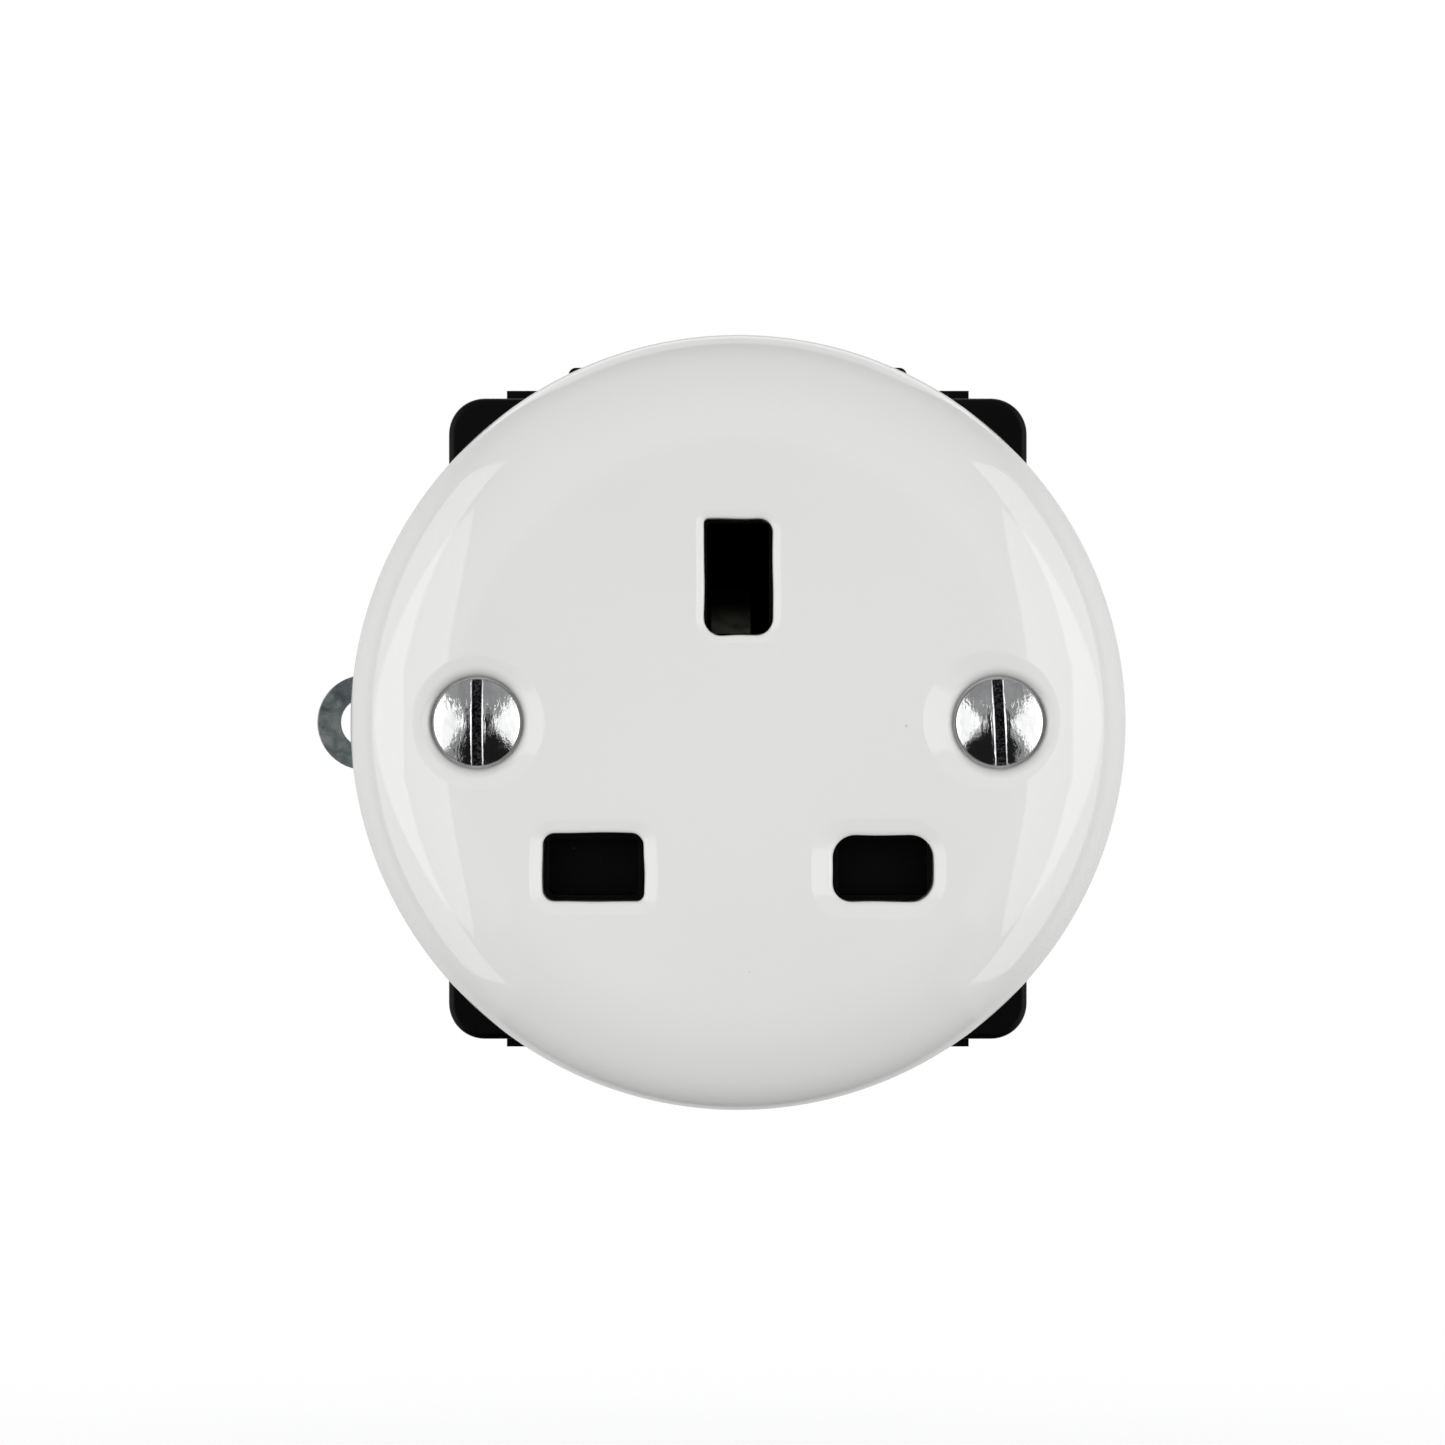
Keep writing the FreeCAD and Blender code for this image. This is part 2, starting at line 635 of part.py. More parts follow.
def mounting_strap():
    """The zinc plated sheet steel strap: a round plate with a ring lug, a fork and a bent tail."""
    body = new_body("mounting_strap")
    plate = new_sketch(body, "plate_outline", "Y", "0")
    circle(plate, "0", "0", STRAP_RADIUS)
    pad(body, "plate", plate, "Dims.strap_thickness")
    arms = new_sketch(body, "arm_outlines", "Y", "0")
    outline(arms, [
        (f"-{SCREW_REACH}", "Dims.lug_radius"),
        ("-Dims.lug_reach", "Dims.lug_radius", "Dims.lug_radius", "left"),
        ("-Dims.lug_reach - Dims.lug_radius", "0", "Dims.lug_radius", "left"),
        ("-Dims.lug_reach", "-Dims.lug_radius"),
        (f"-{SCREW_REACH}", "-Dims.lug_radius"),
    ])
    pad(body, "lug_arm", arms, "Dims.strap_thickness")
    fork = new_sketch(body, "fork_outline", "Y", "0")
    box(fork, SCREW_REACH, FORK_REACH, "-Dims.lug_radius", "Dims.lug_radius")
    pad(body, "fork_arm", fork, "Dims.strap_thickness")
    window = new_sketch(body, "window_outline", "Y", STRAP_FRONT)
    boss_outline(window, "Dims.window_play")
    pocket(body, "boss_window", window, "Dims.strap_thickness")
    relief = new_sketch(body, "relief_outline", "Y", STRAP_FRONT)
    tail_bottom = f"({BOSS_TOP} + Dims.tail_gap)"
    relief_top = f"({tail_bottom} + 2 * Dims.strap_thickness + Dims.tail_bend)"
    relief_half = "(Dims.tail_width / 2 + Dims.tail_relief)"
    box(relief, f"-{relief_half}", relief_half, BOSS_TOP, relief_top)
    pocket(body, "tail_relief", relief, "Dims.strap_thickness")
    tail = new_sketch(body, "tail_section", "X", "-Dims.tail_width / 2")
    tail_top = f"({tail_bottom} + Dims.strap_thickness)"
    outer_bend = "(Dims.tail_bend + Dims.strap_thickness)"
    outline(tail, [
        (STRAP_FRONT, f"{relief_top} + {CLEAR / 2}"),
        (STRAP_FRONT, f"{tail_bottom} + {outer_bend}", outer_bend, "left"),
        (f"{STRAP_FRONT} + {outer_bend}", tail_bottom),
        ("Dims.contact_plane", tail_bottom),
        ("Dims.contact_plane", tail_top),
        ("Dims.tail_bend", tail_top, "Dims.tail_bend", "right"),
        ("0", f"{tail_top} + Dims.tail_bend"),
        ("0", f"{relief_top} + {CLEAR / 2}"),
    ])
    pad(body, "earth_tail", tail, "Dims.tail_width")
    holes = new_sketch(body, "hole_outlines", "Y", STRAP_FRONT)
    circle(holes, "-Dims.lug_reach", "0", "Dims.lug_hole_radius")
    for side in ("-", ""):
        circle(holes, f"{side}{SCREW_REACH}", "0", "Dims.nut_collar_radius")
    pocket(body, "lug_and_nut_holes", holes, "Dims.strap_thickness")
    mouth = new_sketch(body, "fork_mouth_outline", "Y", STRAP_FRONT)
    half_round_notch(mouth, "Dims.fork_bottom", f"{FORK_REACH} + {CLEAR}", "0",
                     "Dims.lug_hole_radius")
    pocket(body, "fork_mouth", mouth, "Dims.strap_thickness")
    for number, (across, up) in enumerate(strap_screw_places()):
        small = new_sketch(body, f"strap_hole_{number}_section", "Z", up, across)
        countersunk_section(small, STRAP_FRONT, "0")
        turn_solid(body, f"strap_hole_{number}", small, "PartDesign::Groove")


def countersunk_section(sketch, head_plane, back):
    """Half the section of the hole that a small countersunk screw sits in."""
    wide = "(Dims.small_head_radius + Dims.small_screw_play)"
    narrow = "(Dims.small_shank_radius + Dims.small_screw_play)"
    outline(sketch, [
        ("0", f"{head_plane} - {CLEAR}"),
        (wide, f"{head_plane} - {CLEAR}"),
        (wide, head_plane),
        (narrow, f"{head_plane} + {wide} - {narrow}"),
        (narrow, f"{back} + {CLEAR}"),
        ("0", f"{back} + {CLEAR}"),
    ])


def small_countersunk_screw(name, across, head_plane, up, length, facing="0"):
    """A small countersunk screw with a slot, modelled about its own axis."""
    body = new_body(name)
    section = new_sketch(body, f"{name}_section", "Z", "0")
    outline(section, [
        ("0", "0"),
        ("Dims.small_head_radius", "0"),
        ("Dims.small_shank_radius", "Dims.small_head_radius - Dims.small_shank_radius"),
        ("Dims.small_shank_radius", f"{length} - Dims.small_shank_radius"),
        ("0", length),
    ])
    turn_solid(body, f"{name}_blank", section)
    slot = new_sketch(body, f"{name}_slot_outline", "Y", f"-{CLEAR}")
    box_about(slot, "0", "0", "Dims.drive_slot_width", f"(2 * Dims.small_head_radius + {CLEAR})")
    pocket(body, f"{name}_slot", slot, f"Dims.drive_slot_depth + {CLEAR}")
    body.Placement = FreeCAD.Placement(
        FreeCAD.Vector(value(across), value(head_plane), value(up)),
        FreeCAD.Rotation(FreeCAD.Vector(0, 0, 1), value(facing)),
    )
    body.setExpression(".Placement.Base.x", across)
    body.setExpression(".Placement.Base.y", head_plane)
    body.setExpression(".Placement.Base.z", up)


def corner_screw_places():
    """Where the four screws that hold the two mouldings together stand."""
    places = []
    for side, name in (("-", "left"), ("", "right")):
        for way, level in (("-", "bottom"), ("", "top")):
            places.append((
                f"{level}_{name}",
                f"{side}{CORNER_SCREW_X}",
                f"(Dims.mechanism_rise + {way}{CORNER_SCREW_Z})",
            ))
    return places


def pin_holes(sketch, grow="0"):
    """The three pin holes, grown by a clearance."""
    for side in ("-", ""):
        box_about(sketch, f"{side}Dims.pin_pitch", "-Dims.pin_pitch",
                  f"(Dims.line_pin_width + {grow})", f"(Dims.line_pin_height + {grow})",
                  "Dims.pin_hole_corner")
    box_about(sketch, "0", "Dims.pin_pitch", f"(Dims.earth_pin_width + {grow})",
              f"(Dims.earth_pin_height + {grow})", "Dims.pin_hole_corner")


def side_notches(body, front, length):
    """Notches in both sides that the strap's nuts and the cover screws' ends hang in."""
    radius = "(Dims.nut_radius + Dims.nut_play)"
    for side, name in (("-", "left"), ("", "right")):
        notch = new_sketch(body, f"{name}_notch_outline", "Y", front)
        half_round_notch(notch, f"{side}{SCREW_REACH}", f"{side}{DISC_RADIUS}", "0", radius)
        pocket(body, f"{name}_notch", notch, length)


def tail_slot(sketch):
    """The slot that the strap's bent tail passes through."""
    bottom = f"({BOSS_TOP} + Dims.tail_gap - Dims.fit_play)"
    top = f"({BOSS_TOP} + Dims.tail_gap + Dims.strap_thickness + Dims.tail_bend + Dims.fit_play)"
    half = "(Dims.tail_width / 2 + Dims.fit_play)"
    box(sketch, f"-{half}", half, bottom, top)


def front_moulding():
    """The black front: a flanged plate with a skirt, and a boss with the three pin holes."""
    body = new_body("front_moulding")
    flange = new_sketch(body, "flange_outline", "Y", "Dims.flange_depth")
    box_about(flange, "0", "Dims.mechanism_rise", FLANGE_WIDTH, FLANGE_HEIGHT,
              "Dims.flange_corner")
    pad(body, "flange", flange, "Dims.flange_depth")
    round_edges(body, "flange_front_edge", "Dims.flange_edge", lambda edge: at_level(edge, 0))
    ledges = new_sketch(body, "ledge_outline", "Y", "Dims.ledge_front + Dims.ledge_depth")
    box_about(ledges, "0", "Dims.mechanism_rise", "Dims.ledge_width",
              f"({FLANGE_HEIGHT} + 2 * Dims.ledge_proud)")
    pad(body, "snap_ledges", ledges, "Dims.ledge_depth")
    inside = new_sketch(body, "skirt_inside_outline", "Y", "Dims.flange_plate")
    box_about(inside, "0", "Dims.mechanism_rise", f"({FLANGE_WIDTH} - 2 * Dims.flange_wall)",
              f"({FLANGE_HEIGHT} - 2 * Dims.flange_wall)", "Dims.skirt_corner")
    pocket(body, "skirt_inside", inside, "Dims.flange_depth")
    pillars = new_sketch(body, "pillar_outlines", "Y", PILLAR_BACK)
    for _, across, up in corner_screw_places():
        box_about(pillars, across, up, "(2 * Dims.corner_pillar_radius)",
                  "(2 * Dims.corner_pillar_radius)", "Dims.corner_pillar_round")
    for across, up in strap_screw_places():
        circle(pillars, across, up, "Dims.corner_pillar_radius")
    pad(body, "screw_pillars", pillars, f"{PILLAR_BACK} - Dims.flange_plate + {CLEAR}")
    boss = new_sketch(body, "boss_base_outline", "Y", "Dims.flange_plate")
    boss_outline(boss)
    pad(body, "boss", boss, f"Dims.flange_plate - {BOSS_FRONT}")
    cavity = new_sketch(body, "cavity_outline", "Y", BOSS_INSIDE)
    box(cavity, f"-{CAVITY_HALF}", CAVITY_HALF, CAVITY_BOTTOM, CAVITY_TOP, "Dims.cavity_corner")
    pocket(body, "boss_cavity", cavity, f"Dims.flange_depth - {BOSS_INSIDE}")
    holes = new_sketch(body, "pin_hole_outlines", "Y", f"{BOSS_FRONT} - {CLEAR}")
    pin_holes(holes)
    pocket(body, "pin_holes", holes, f"Dims.boss_plate + {2 * CLEAR}")
    side_notches(body, f"-{CLEAR}", f"Dims.flange_depth + {2 * CLEAR}")
    slot = new_sketch(body, "tail_slot_outline", "Y", f"-{CLEAR}")
    tail_slot(slot)
    pocket(body, "tail_slot", slot, f"Dims.flange_plate + {2 * CLEAR}")
    pilots = new_sketch(body, "pilot_outlines", "Y", "Dims.pilot_depth")
    for _, across, up in corner_screw_places():
        circle(pilots, across, up, "(Dims.small_shank_radius + Dims.small_screw_play)")
    pocket(body, "corner_pilots", pilots, "Dims.flange_depth")
    pilots = new_sketch(body, "strap_pilot_outlines", "Y", f"-{CLEAR}")
    for across, up in strap_screw_places():
        circle(pilots, across, up, "(Dims.small_shank_radius + Dims.small_screw_play)")
    pocket(body, "strap_pilots", pilots, f"Dims.flange_depth + {CLEAR}")


def shutter():
    """The shutter: a blind bar on a stem, with a ramp that the earth pin pushes down."""
    body = new_body("shutter")
    half = f"({CAVITY_HALF} - Dims.shutter_play)"
    bar = new_sketch(body, "bar_outline", "Y", SHUTTER_BACK)
    foot = "Dims.shutter_corner"
    top = "Dims.shutter_top_corner"
    box(bar, f"-{half}", half, BAR_BOTTOM, BAR_TOP, [foot, foot, top, top])
    pad(body, "blind_bar", bar, "Dims.shutter_thickness")
    stem = new_sketch(body, "stem_outline", "Y", SHUTTER_BACK)
    box(stem, "-Dims.stem_half_width", "Dims.stem_half_width", f"{BAR_BOTTOM} + {CLEAR}", RAMP_FOOT)
    pad(body, "stem", stem, "Dims.shutter_thickness")
    ramp = new_sketch(body, "ramp_section", "X", "-Dims.ramp_left")
    outline(ramp, [
        (SHUTTER_FRONT, f"{RAMP_FOOT} - Dims.ramp_base"),
        (RAMP_BACK, f"{RAMP_FOOT} - Dims.ramp_base"),
        (RAMP_BACK, RAMP_TOP),
        (SHUTTER_FRONT, RAMP_FOOT),
    ])
    pad(body, "ramp", ramp, "Dims.ramp_left + Dims.ramp_right")
    window = new_sketch(body, "spring_window_outline", "Y", f"{SHUTTER_FRONT} - {CLEAR}")
    box(window, "-Dims.stem_window_half_width", "Dims.stem_window_half_width",
        "-Dims.stem_window_bottom", "Dims.stem_window_top")
    pocket(body, "spring_window", window, f"Dims.shutter_thickness + {2 * CLEAR}")


def core_outline(sketch):
    """The outline of what fills the boss's cavity, with a little play all round."""
    half = f"({CAVITY_HALF} - Dims.fit_play)"
    box(sketch, f"-{half}", half, f"{CAVITY_BOTTOM} + Dims.fit_play",
        f"{CAVITY_TOP} - Dims.fit_play", "Dims.core_corner")


def shutter_guide():
    """The plate behind the shutter, with pin ways, and the post that the spring stands on."""
    body = new_body("shutter_guide")
    plate = new_sketch(body, "guide_outline", "Y", GUIDE_BACK)
    core_outline(plate)
    pad(body, "guide_plate", plate, "Dims.guide_thickness")
    post = new_sketch(body, "post_outline", "Y", GUIDE_FRONT)
    box(post, "-Dims.post_half_width", "Dims.post_half_width",
        "-Dims.post_top - Dims.post_height", "-Dims.post_top")
    pad(body, "spring_post", post, f"{GUIDE_FRONT} - {SHUTTER_FRONT}")
    ways = new_sketch(body, "way_outlines", "Y", GUIDE_FRONT)
    for side in ("-", ""):
        box_about(ways, f"{side}Dims.pin_pitch", "-Dims.pin_pitch",
                  "(2 * Dims.chamber_half_width)", "(Dims.line_pin_height + Dims.fit_play)")
    pocket(body, "side_ways", ways, f"Dims.guide_thickness + {CLEAR}")
    way = new_sketch(body, "earth_way_outline", "Y", GUIDE_FRONT)
    earth_way(way)
    pocket(body, "earth_way", way, f"Dims.guide_thickness + {CLEAR}")


def earth_way(sketch):
    """The way of the earth pin, lengthened down for the ramp's travel."""
    half = "(Dims.earth_pin_width / 2 + Dims.fit_play)"
    bottom = f"({RAMP_FOOT} - Dims.ramp_base - Dims.shutter_travel - Dims.fit_play)"
    top = "(Dims.pin_pitch + Dims.earth_pin_height / 2 + Dims.way_play)"
    box(sketch, f"-{half}", half, bottom, top)


def shutter_spring():
    """The coil spring between the guide's post and the top of the stem's window."""
    spring = doc.addObject("Part::Helix", "spring_path")
    length = "(Dims.stem_window_top + Dims.post_top - 2 * Dims.spring_wire_radius - 2 * Dims.spring_play)"
    spring.setExpression("Pitch", f"{length} / Dims.spring_turns")
    spring.setExpression("Height", length)
    spring.setExpression("Radius", "Dims.spring_radius")
    wire = doc.addObject("Part::Circle", "spring_wire")
    wire.setExpression("Radius", "Dims.spring_wire_radius")
    wire.Placement = FreeCAD.Placement(
        FreeCAD.Vector(value("Dims.spring_radius"), 0, 0),
        FreeCAD.Rotation(FreeCAD.Vector(1, 0, 0), 90),
    )
    wire.setExpression(".Placement.Base.x", "Dims.spring_radius")
    coil = doc.addObject("Part::Sweep", "shutter_spring")
    coil.Label = "shutter_spring"
    coil.Sections = [wire]
    coil.Spine = (spring, [])
    coil.Solid = True
    coil.Frenet = True
    middle = f"(({SHUTTER_FRONT} + {SHUTTER_BACK}) / 2)"
    foot = "(-Dims.post_top + Dims.spring_wire_radius + Dims.spring_play)"
    coil.Placement.Base = FreeCAD.Vector(0, value(middle), value(foot))
    coil.setExpression(".Placement.Base.y", middle)
    coil.setExpression(".Placement.Base.z", foot)
    pieces.append(coil)


def rear_housing():
    """The black rear moulding: a core in the boss, a flange in the skirt, and the deep box."""
    body = new_body("rear_housing")
    core = new_sketch(body, "core_outline", "Y", "Dims.flange_depth")
    core_outline(core)
    pad(body, "core", core, f"Dims.flange_depth - {CORE_FRONT}")
    flange = new_sketch(body, "flange_outline", "Y", "Dims.flange_depth")
    inset = "2 * (Dims.flange_wall + Dims.fit_play)"
    box_about(flange, "0", "Dims.mechanism_rise", f"({FLANGE_WIDTH} - {inset})",
              f"({FLANGE_HEIGHT} - {inset})", "Dims.rear_flange_corner")
    pad(body, "flange", flange, f"Dims.flange_depth - {PILLAR_BACK}")
    deep = new_sketch(body, "deep_outline", "Y", "Dims.housing_back")
    housing_outline(deep)
    pad(body, "deep_box", deep, f"Dims.housing_back - Dims.flange_depth + {CLEAR / 2}")
    bay = new_sketch(body, "bay_outline", "Y", "Dims.housing_back")
    bay_outline(bay)
    pad(body, "earth_bay", bay, "Dims.housing_back - Dims.flange_depth")
    side_notches(body, "0", "Dims.flange_depth")
    chamber_front = f"{CORE_FRONT} - {CLEAR}"
    chamber_length = f"({BLOCK_FRONT} - ({chamber_front}) + Dims.block_play)"
    chambers = new_sketch(body, "chamber_outlines", "Y", chamber_front)
    for side in ("-", ""):
        box_about(chambers, f"{side}Dims.pin_pitch", "-Dims.pin_pitch",
                  "(2 * Dims.chamber_half_width)", "(2 * Dims.chamber_half_height)")
    box_about(chambers, "0", "Dims.pin_pitch", "(2 * Dims.earth_chamber_half_width)",
              "(2 * Dims.earth_chamber_half_height)")
    pocket(body, "contact_chambers", chambers, chamber_length)
    travel = new_sketch(body, "ramp_well_outline", "Y", chamber_front)
    earth_way(travel)
    pocket(body, "ramp_well", travel, f"{RAMP_BACK} + Dims.block_play - ({chamber_front})")
    wells = new_sketch(body, "well_outlines", "Y", "Dims.contact_plane - Dims.block_play")
    block_half = "(Dims.block_width / 2 + Dims.block_play)"
    for side in ("-", ""):
        box(wells, f"{side}Dims.pin_pitch - {block_half}", f"{side}Dims.pin_pitch + {block_half}",
            LINE_WELL_BOTTOM,
            f"{LINE_BLOCK_UP} + Dims.block_height / 2 + Dims.block_play")
    pocket(body, "line_wells", wells, "Dims.housing_back")
    well = new_sketch(body, "earth_well_outline", "Y", "Dims.contact_plane - Dims.block_play")
    box(well, f"-{EARTH_WELL_HALF}", EARTH_WELL_HALF, "Dims.pin_pitch", EARTH_WELL_TOP)
    pocket(body, "earth_well", well, "Dims.housing_back")
    slot = new_sketch(body, "tail_slot_outline", "Y", f"{PILLAR_BACK} - {CLEAR}")
    tail_slot(slot)
    pocket(body, "tail_slot", slot, "Dims.contact_plane")
    notch_front = f"{BLOCK_FRONT} + Dims.wire_hole_setback - Dims.wire_entry_half"
    entries = new_sketch(body, "wire_entry_outlines", "Y", notch_front)
    for side in ("-", ""):
        box(entries, f"{side}Dims.pin_pitch - Dims.wire_entry_half",
            f"{side}Dims.pin_pitch + Dims.wire_entry_half",
            f"-{HOUSING_HALF_HEIGHT} - {CLEAR}", LINE_BLOCK_UP)
    earth_half = "(Dims.earth_screw_spacing / 2 + Dims.wire_entry_half)"
    box(entries, f"-{earth_half}", earth_half, "Dims.earth_block_rise", f"{BAY_TOP} + {CLEAR}")
    pocket(body, "wire_entries", entries, "Dims.housing_back")
    light = new_sketch(body, "core_out_outlines", "Y", "Dims.core_out_front")
    box(light, f"-{CORE_OUT_OUTER}", f"-{CORE_OUT_INNER}", f"-{CORE_OUT_HALF_HEIGHT}",
        CORE_OUT_HALF_HEIGHT)
    box(light, CORE_OUT_INNER, CORE_OUT_OUTER, f"-{CORE_OUT_HALF_HEIGHT}",
        CORE_OUT_HALF_HEIGHT)
    pocket(body, "core_outs", light, "Dims.housing_back")
    pilots = new_sketch(body, "corner_hole_outlines", "Y", f"{PILLAR_BACK} - {CLEAR}")
    for _, across, up in corner_screw_places():
        circle(pilots, across, up, "(Dims.small_shank_radius + Dims.small_screw_play)")
    pocket(body, "corner_holes", pilots, "Dims.flange_depth")
    pilots = new_sketch(body, "plate_pilot_outlines", "Y",
                        f"{BACK_PLATE_BACK} - Dims.plate_screw_length - Dims.pilot_play")
    for across, up in plate_screw_places():
        circle(pilots, across, up, "(Dims.small_shank_radius + Dims.small_screw_play)")
    pocket(body, "plate_pilots", pilots, "Dims.plate_screw_length")


def housing_outline(sketch):
    """The deep box's outline, seen from the front."""
    box(sketch, f"-{HOUSING_HALF}", HOUSING_HALF, f"-{HOUSING_HALF_HEIGHT}",
        HOUSING_HALF_HEIGHT, "Dims.housing_corner")


def bay_outline(sketch):
    """The earth bay's outline, above the deep box."""
    box(sketch, f"-{BAY_HALF}", BAY_HALF, "0", BAY_TOP,
        "Dims.bay_corner")


def plate_screw_places():
    """Where the three screws of the back plate stand."""
    return ((f"-{PLATE_SCREW_X}", "Dims.plate_screw_z"),
            (PLATE_SCREW_X, "Dims.plate_screw_z"), ("0", LINE_BLOCK_UP))


def terminal_places():
    """Each terminal screw's name and place, seen from the front."""
    return (
        ("neutral_terminal_screw", "-Dims.pin_pitch", LINE_BLOCK_UP),
        ("live_terminal_screw", "Dims.pin_pitch", LINE_BLOCK_UP),
        ("earth_terminal_screw_left", "-Dims.earth_screw_spacing / 2", "Dims.earth_block_rise"),
        ("earth_terminal_screw_right", "Dims.earth_screw_spacing / 2", "Dims.earth_block_rise"),
    )


def back_plate():
    """The plate that closes the rear moulding, with an access hole at each terminal."""
    body = new_body("back_plate")
    deep = new_sketch(body, "plate_outline", "Y", BACK_PLATE_BACK)
    housing_outline(deep)
    pad(body, "plate", deep, "Dims.back_plate")
    bay = new_sketch(body, "bay_plate_outline", "Y", BACK_PLATE_BACK)
    bay_outline(bay)
    pad(body, "bay_plate", bay, "Dims.back_plate")
    holes = new_sketch(body, "access_outlines", "Y", f"Dims.housing_back - {CLEAR}")
    for _, across, up in terminal_places():
        circle(holes, across, up, "Dims.access_radius")
    pocket(body, "access_holes", holes, f"Dims.back_plate + {2 * CLEAR}")
    for number, (across, up) in enumerate(plate_screw_places()):
        seat = new_sketch(body, f"plate_hole_{number}_section", "Z", up, across)
        wide = "(Dims.small_head_radius + Dims.small_screw_play)"
        narrow = "(Dims.small_shank_radius + Dims.small_screw_play)"
        outline(seat, [
            ("0", f"Dims.housing_back - {CLEAR}"),
            (narrow, f"Dims.housing_back - {CLEAR}"),
            (narrow, f"{BACK_PLATE_BACK} - {wide} + {narrow}"),
            (wide, BACK_PLATE_BACK),
            (wide, f"{BACK_PLATE_BACK} + {CLEAR}"),
            ("0", f"{BACK_PLATE_BACK} + {CLEAR}"),
        ])
        turn_solid(body, f"plate_hole_{number}", seat, "PartDesign::Groove")


def clip_section(front, gap, tail):
    """The points of a folded clip: two leaves with flared mouths, joined at the contact plane.

    across runs from the mouth to the back, and up is square to the leaves. tail is how far the
    plate at the back runs on below the leaves, as an expression.
    """
    thick = "Dims.contact_thickness"
    inner = f"({gap} / 2)"
    outer = f"({gap} / 2 + {thick})"
    mouth_inner = f"({inner} + Dims.contact_flare)"
    mouth_outer = f"({outer} + Dims.contact_flare)"
    throat = f"({front} + Dims.contact_flare_length)"
    back = "Dims.contact_plane"
    return [
        (front, mouth_inner),
        (throat, inner),
        (back, inner),
        (back, f"-{inner}"),
        (throat, f"-{inner}"),
        (front, f"-{mouth_inner}"),
        (front, f"-{mouth_outer}"),
        (throat, f"-{outer}"),
        (back, f"-{outer}"),
        (back, f"-{tail}"),
        (BLOCK_FRONT, f"-{tail}"),
        (BLOCK_FRONT, outer),
        (throat, outer),
        (front, mouth_outer),
    ]


def line_contact(name, side):
    """A folded brass clip that grips a flat pin from above and below."""
    body = new_body(name)
    section = new_sketch(body, f"{name}_section", "X", "-Dims.line_contact_width / 2")
    outline(section, clip_section(LINE_CONTACT_FRONT, "Dims.line_contact_gap",
                                  "Dims.line_tail_reach"))
    pad(body, f"{name}_strip", section, "Dims.line_contact_width")
    place(body, f"{side}Dims.pin_pitch", "0", "-Dims.pin_pitch")


def earth_contact():
    """A folded brass clip that grips the earth pin from both sides, with a tail to its block."""
    body = new_body("earth_contact")
    inner = "(Dims.earth_contact_gap / 2)"
    outer = "(Dims.earth_contact_gap / 2 + Dims.contact_thickness)"
    front = EARTH_CONTACT_FRONT
    throat = f"({front} + Dims.contact_flare_length)"
    back = "Dims.contact_plane"
    section = new_sketch(body, "clip_section", "Z", "-Dims.earth_contact_width / 2")
    outline(section, [
        (f"{inner} + Dims.contact_flare", front),
        (f"{outer} + Dims.contact_flare", front),
        (outer, throat),
        (outer, BLOCK_FRONT),
        (f"-{outer}", BLOCK_FRONT),
        (f"-{outer}", throat),
        (f"-{outer} - Dims.contact_flare", front),
        (f"-{inner} - Dims.contact_flare", front),
        (f"-{inner}", throat),
        (f"-{inner}", back),
        (inner, back),
        (inner, throat),
    ])
    pad(body, "clip", section, "Dims.earth_contact_width")
    tail = new_sketch(body, "tail_outline", "Y", BLOCK_FRONT)
    box(tail, f"-{outer}", outer, "0", "Dims.earth_tail_reach - Dims.pin_pitch")
    pad(body, "tail", tail, "Dims.contact_thickness")
    place(body, "0", "0", "Dims.pin_pitch")


def terminal_block(name, across, up, width, holes):
    """A brass pillar terminal: wire holes up through it, and a threaded hole from the back."""
    body = new_body(name)
    blank = new_sketch(body, f"{name}_outline", "Y", BLOCK_BACK)
    box_about(blank, "0", "0", width, "Dims.block_height", "Dims.block_corner")
    pad(body, f"{name}_bar", blank, "Dims.block_depth")
    wires = new_sketch(body, f"{name}_wire_outlines", "Z", f"Dims.block_height / 2 + {CLEAR}")
    threads = new_sketch(body, f"{name}_thread_outlines", "Y",
                         f"{BLOCK_FRONT} + Dims.wire_hole_setback")
    for hole in holes:
        circle(wires, hole, f"{BLOCK_FRONT} + Dims.wire_hole_setback", "Dims.wire_hole_radius")
        circle(threads, hole, "0", "(Dims.terminal_shank_radius + Dims.thread_play)")
    pocket(body, f"{name}_wire_holes", wires, f"Dims.block_height + {2 * CLEAR}")
    pocket(body, f"{name}_threads", threads, "Dims.block_depth")
    place(body, across, "0", up)


def terminal_screw(name, across, up):
    """A slotted screw that clamps the wire, with its head towards the back."""
    body = new_body(name)
    seat = f"({BLOCK_BACK} + Dims.terminal_head_gap)"
    tip = f"({BLOCK_FRONT} + Dims.wire_hole_setback + Dims.wire_hole_radius + Dims.terminal_tip_gap)"
    section = new_sketch(body, f"{name}_section", "Z", "0")
    outline(section, [
        ("0", tip),
        ("Dims.terminal_shank_radius", tip),
        ("Dims.terminal_shank_radius", seat),
        ("Dims.terminal_head_radius", seat),
        ("Dims.terminal_head_radius", f"{seat} + Dims.terminal_head_height"),
        ("0", f"{seat} + Dims.terminal_head_height"),
    ])
    turn_solid(body, f"{name}_blank", section)
    slot = new_sketch(body, f"{name}_slot_outline", "Y",
                      f"{seat} + Dims.terminal_head_height - Dims.terminal_slot_depth")
    box_about(slot, "0", "0", f"(2 * Dims.terminal_head_radius + {CLEAR})",
              "Dims.terminal_slot_width")
    pocket(body, f"{name}_slot", slot, f"Dims.terminal_slot_depth + {CLEAR}")
    place(body, across, "0", up)


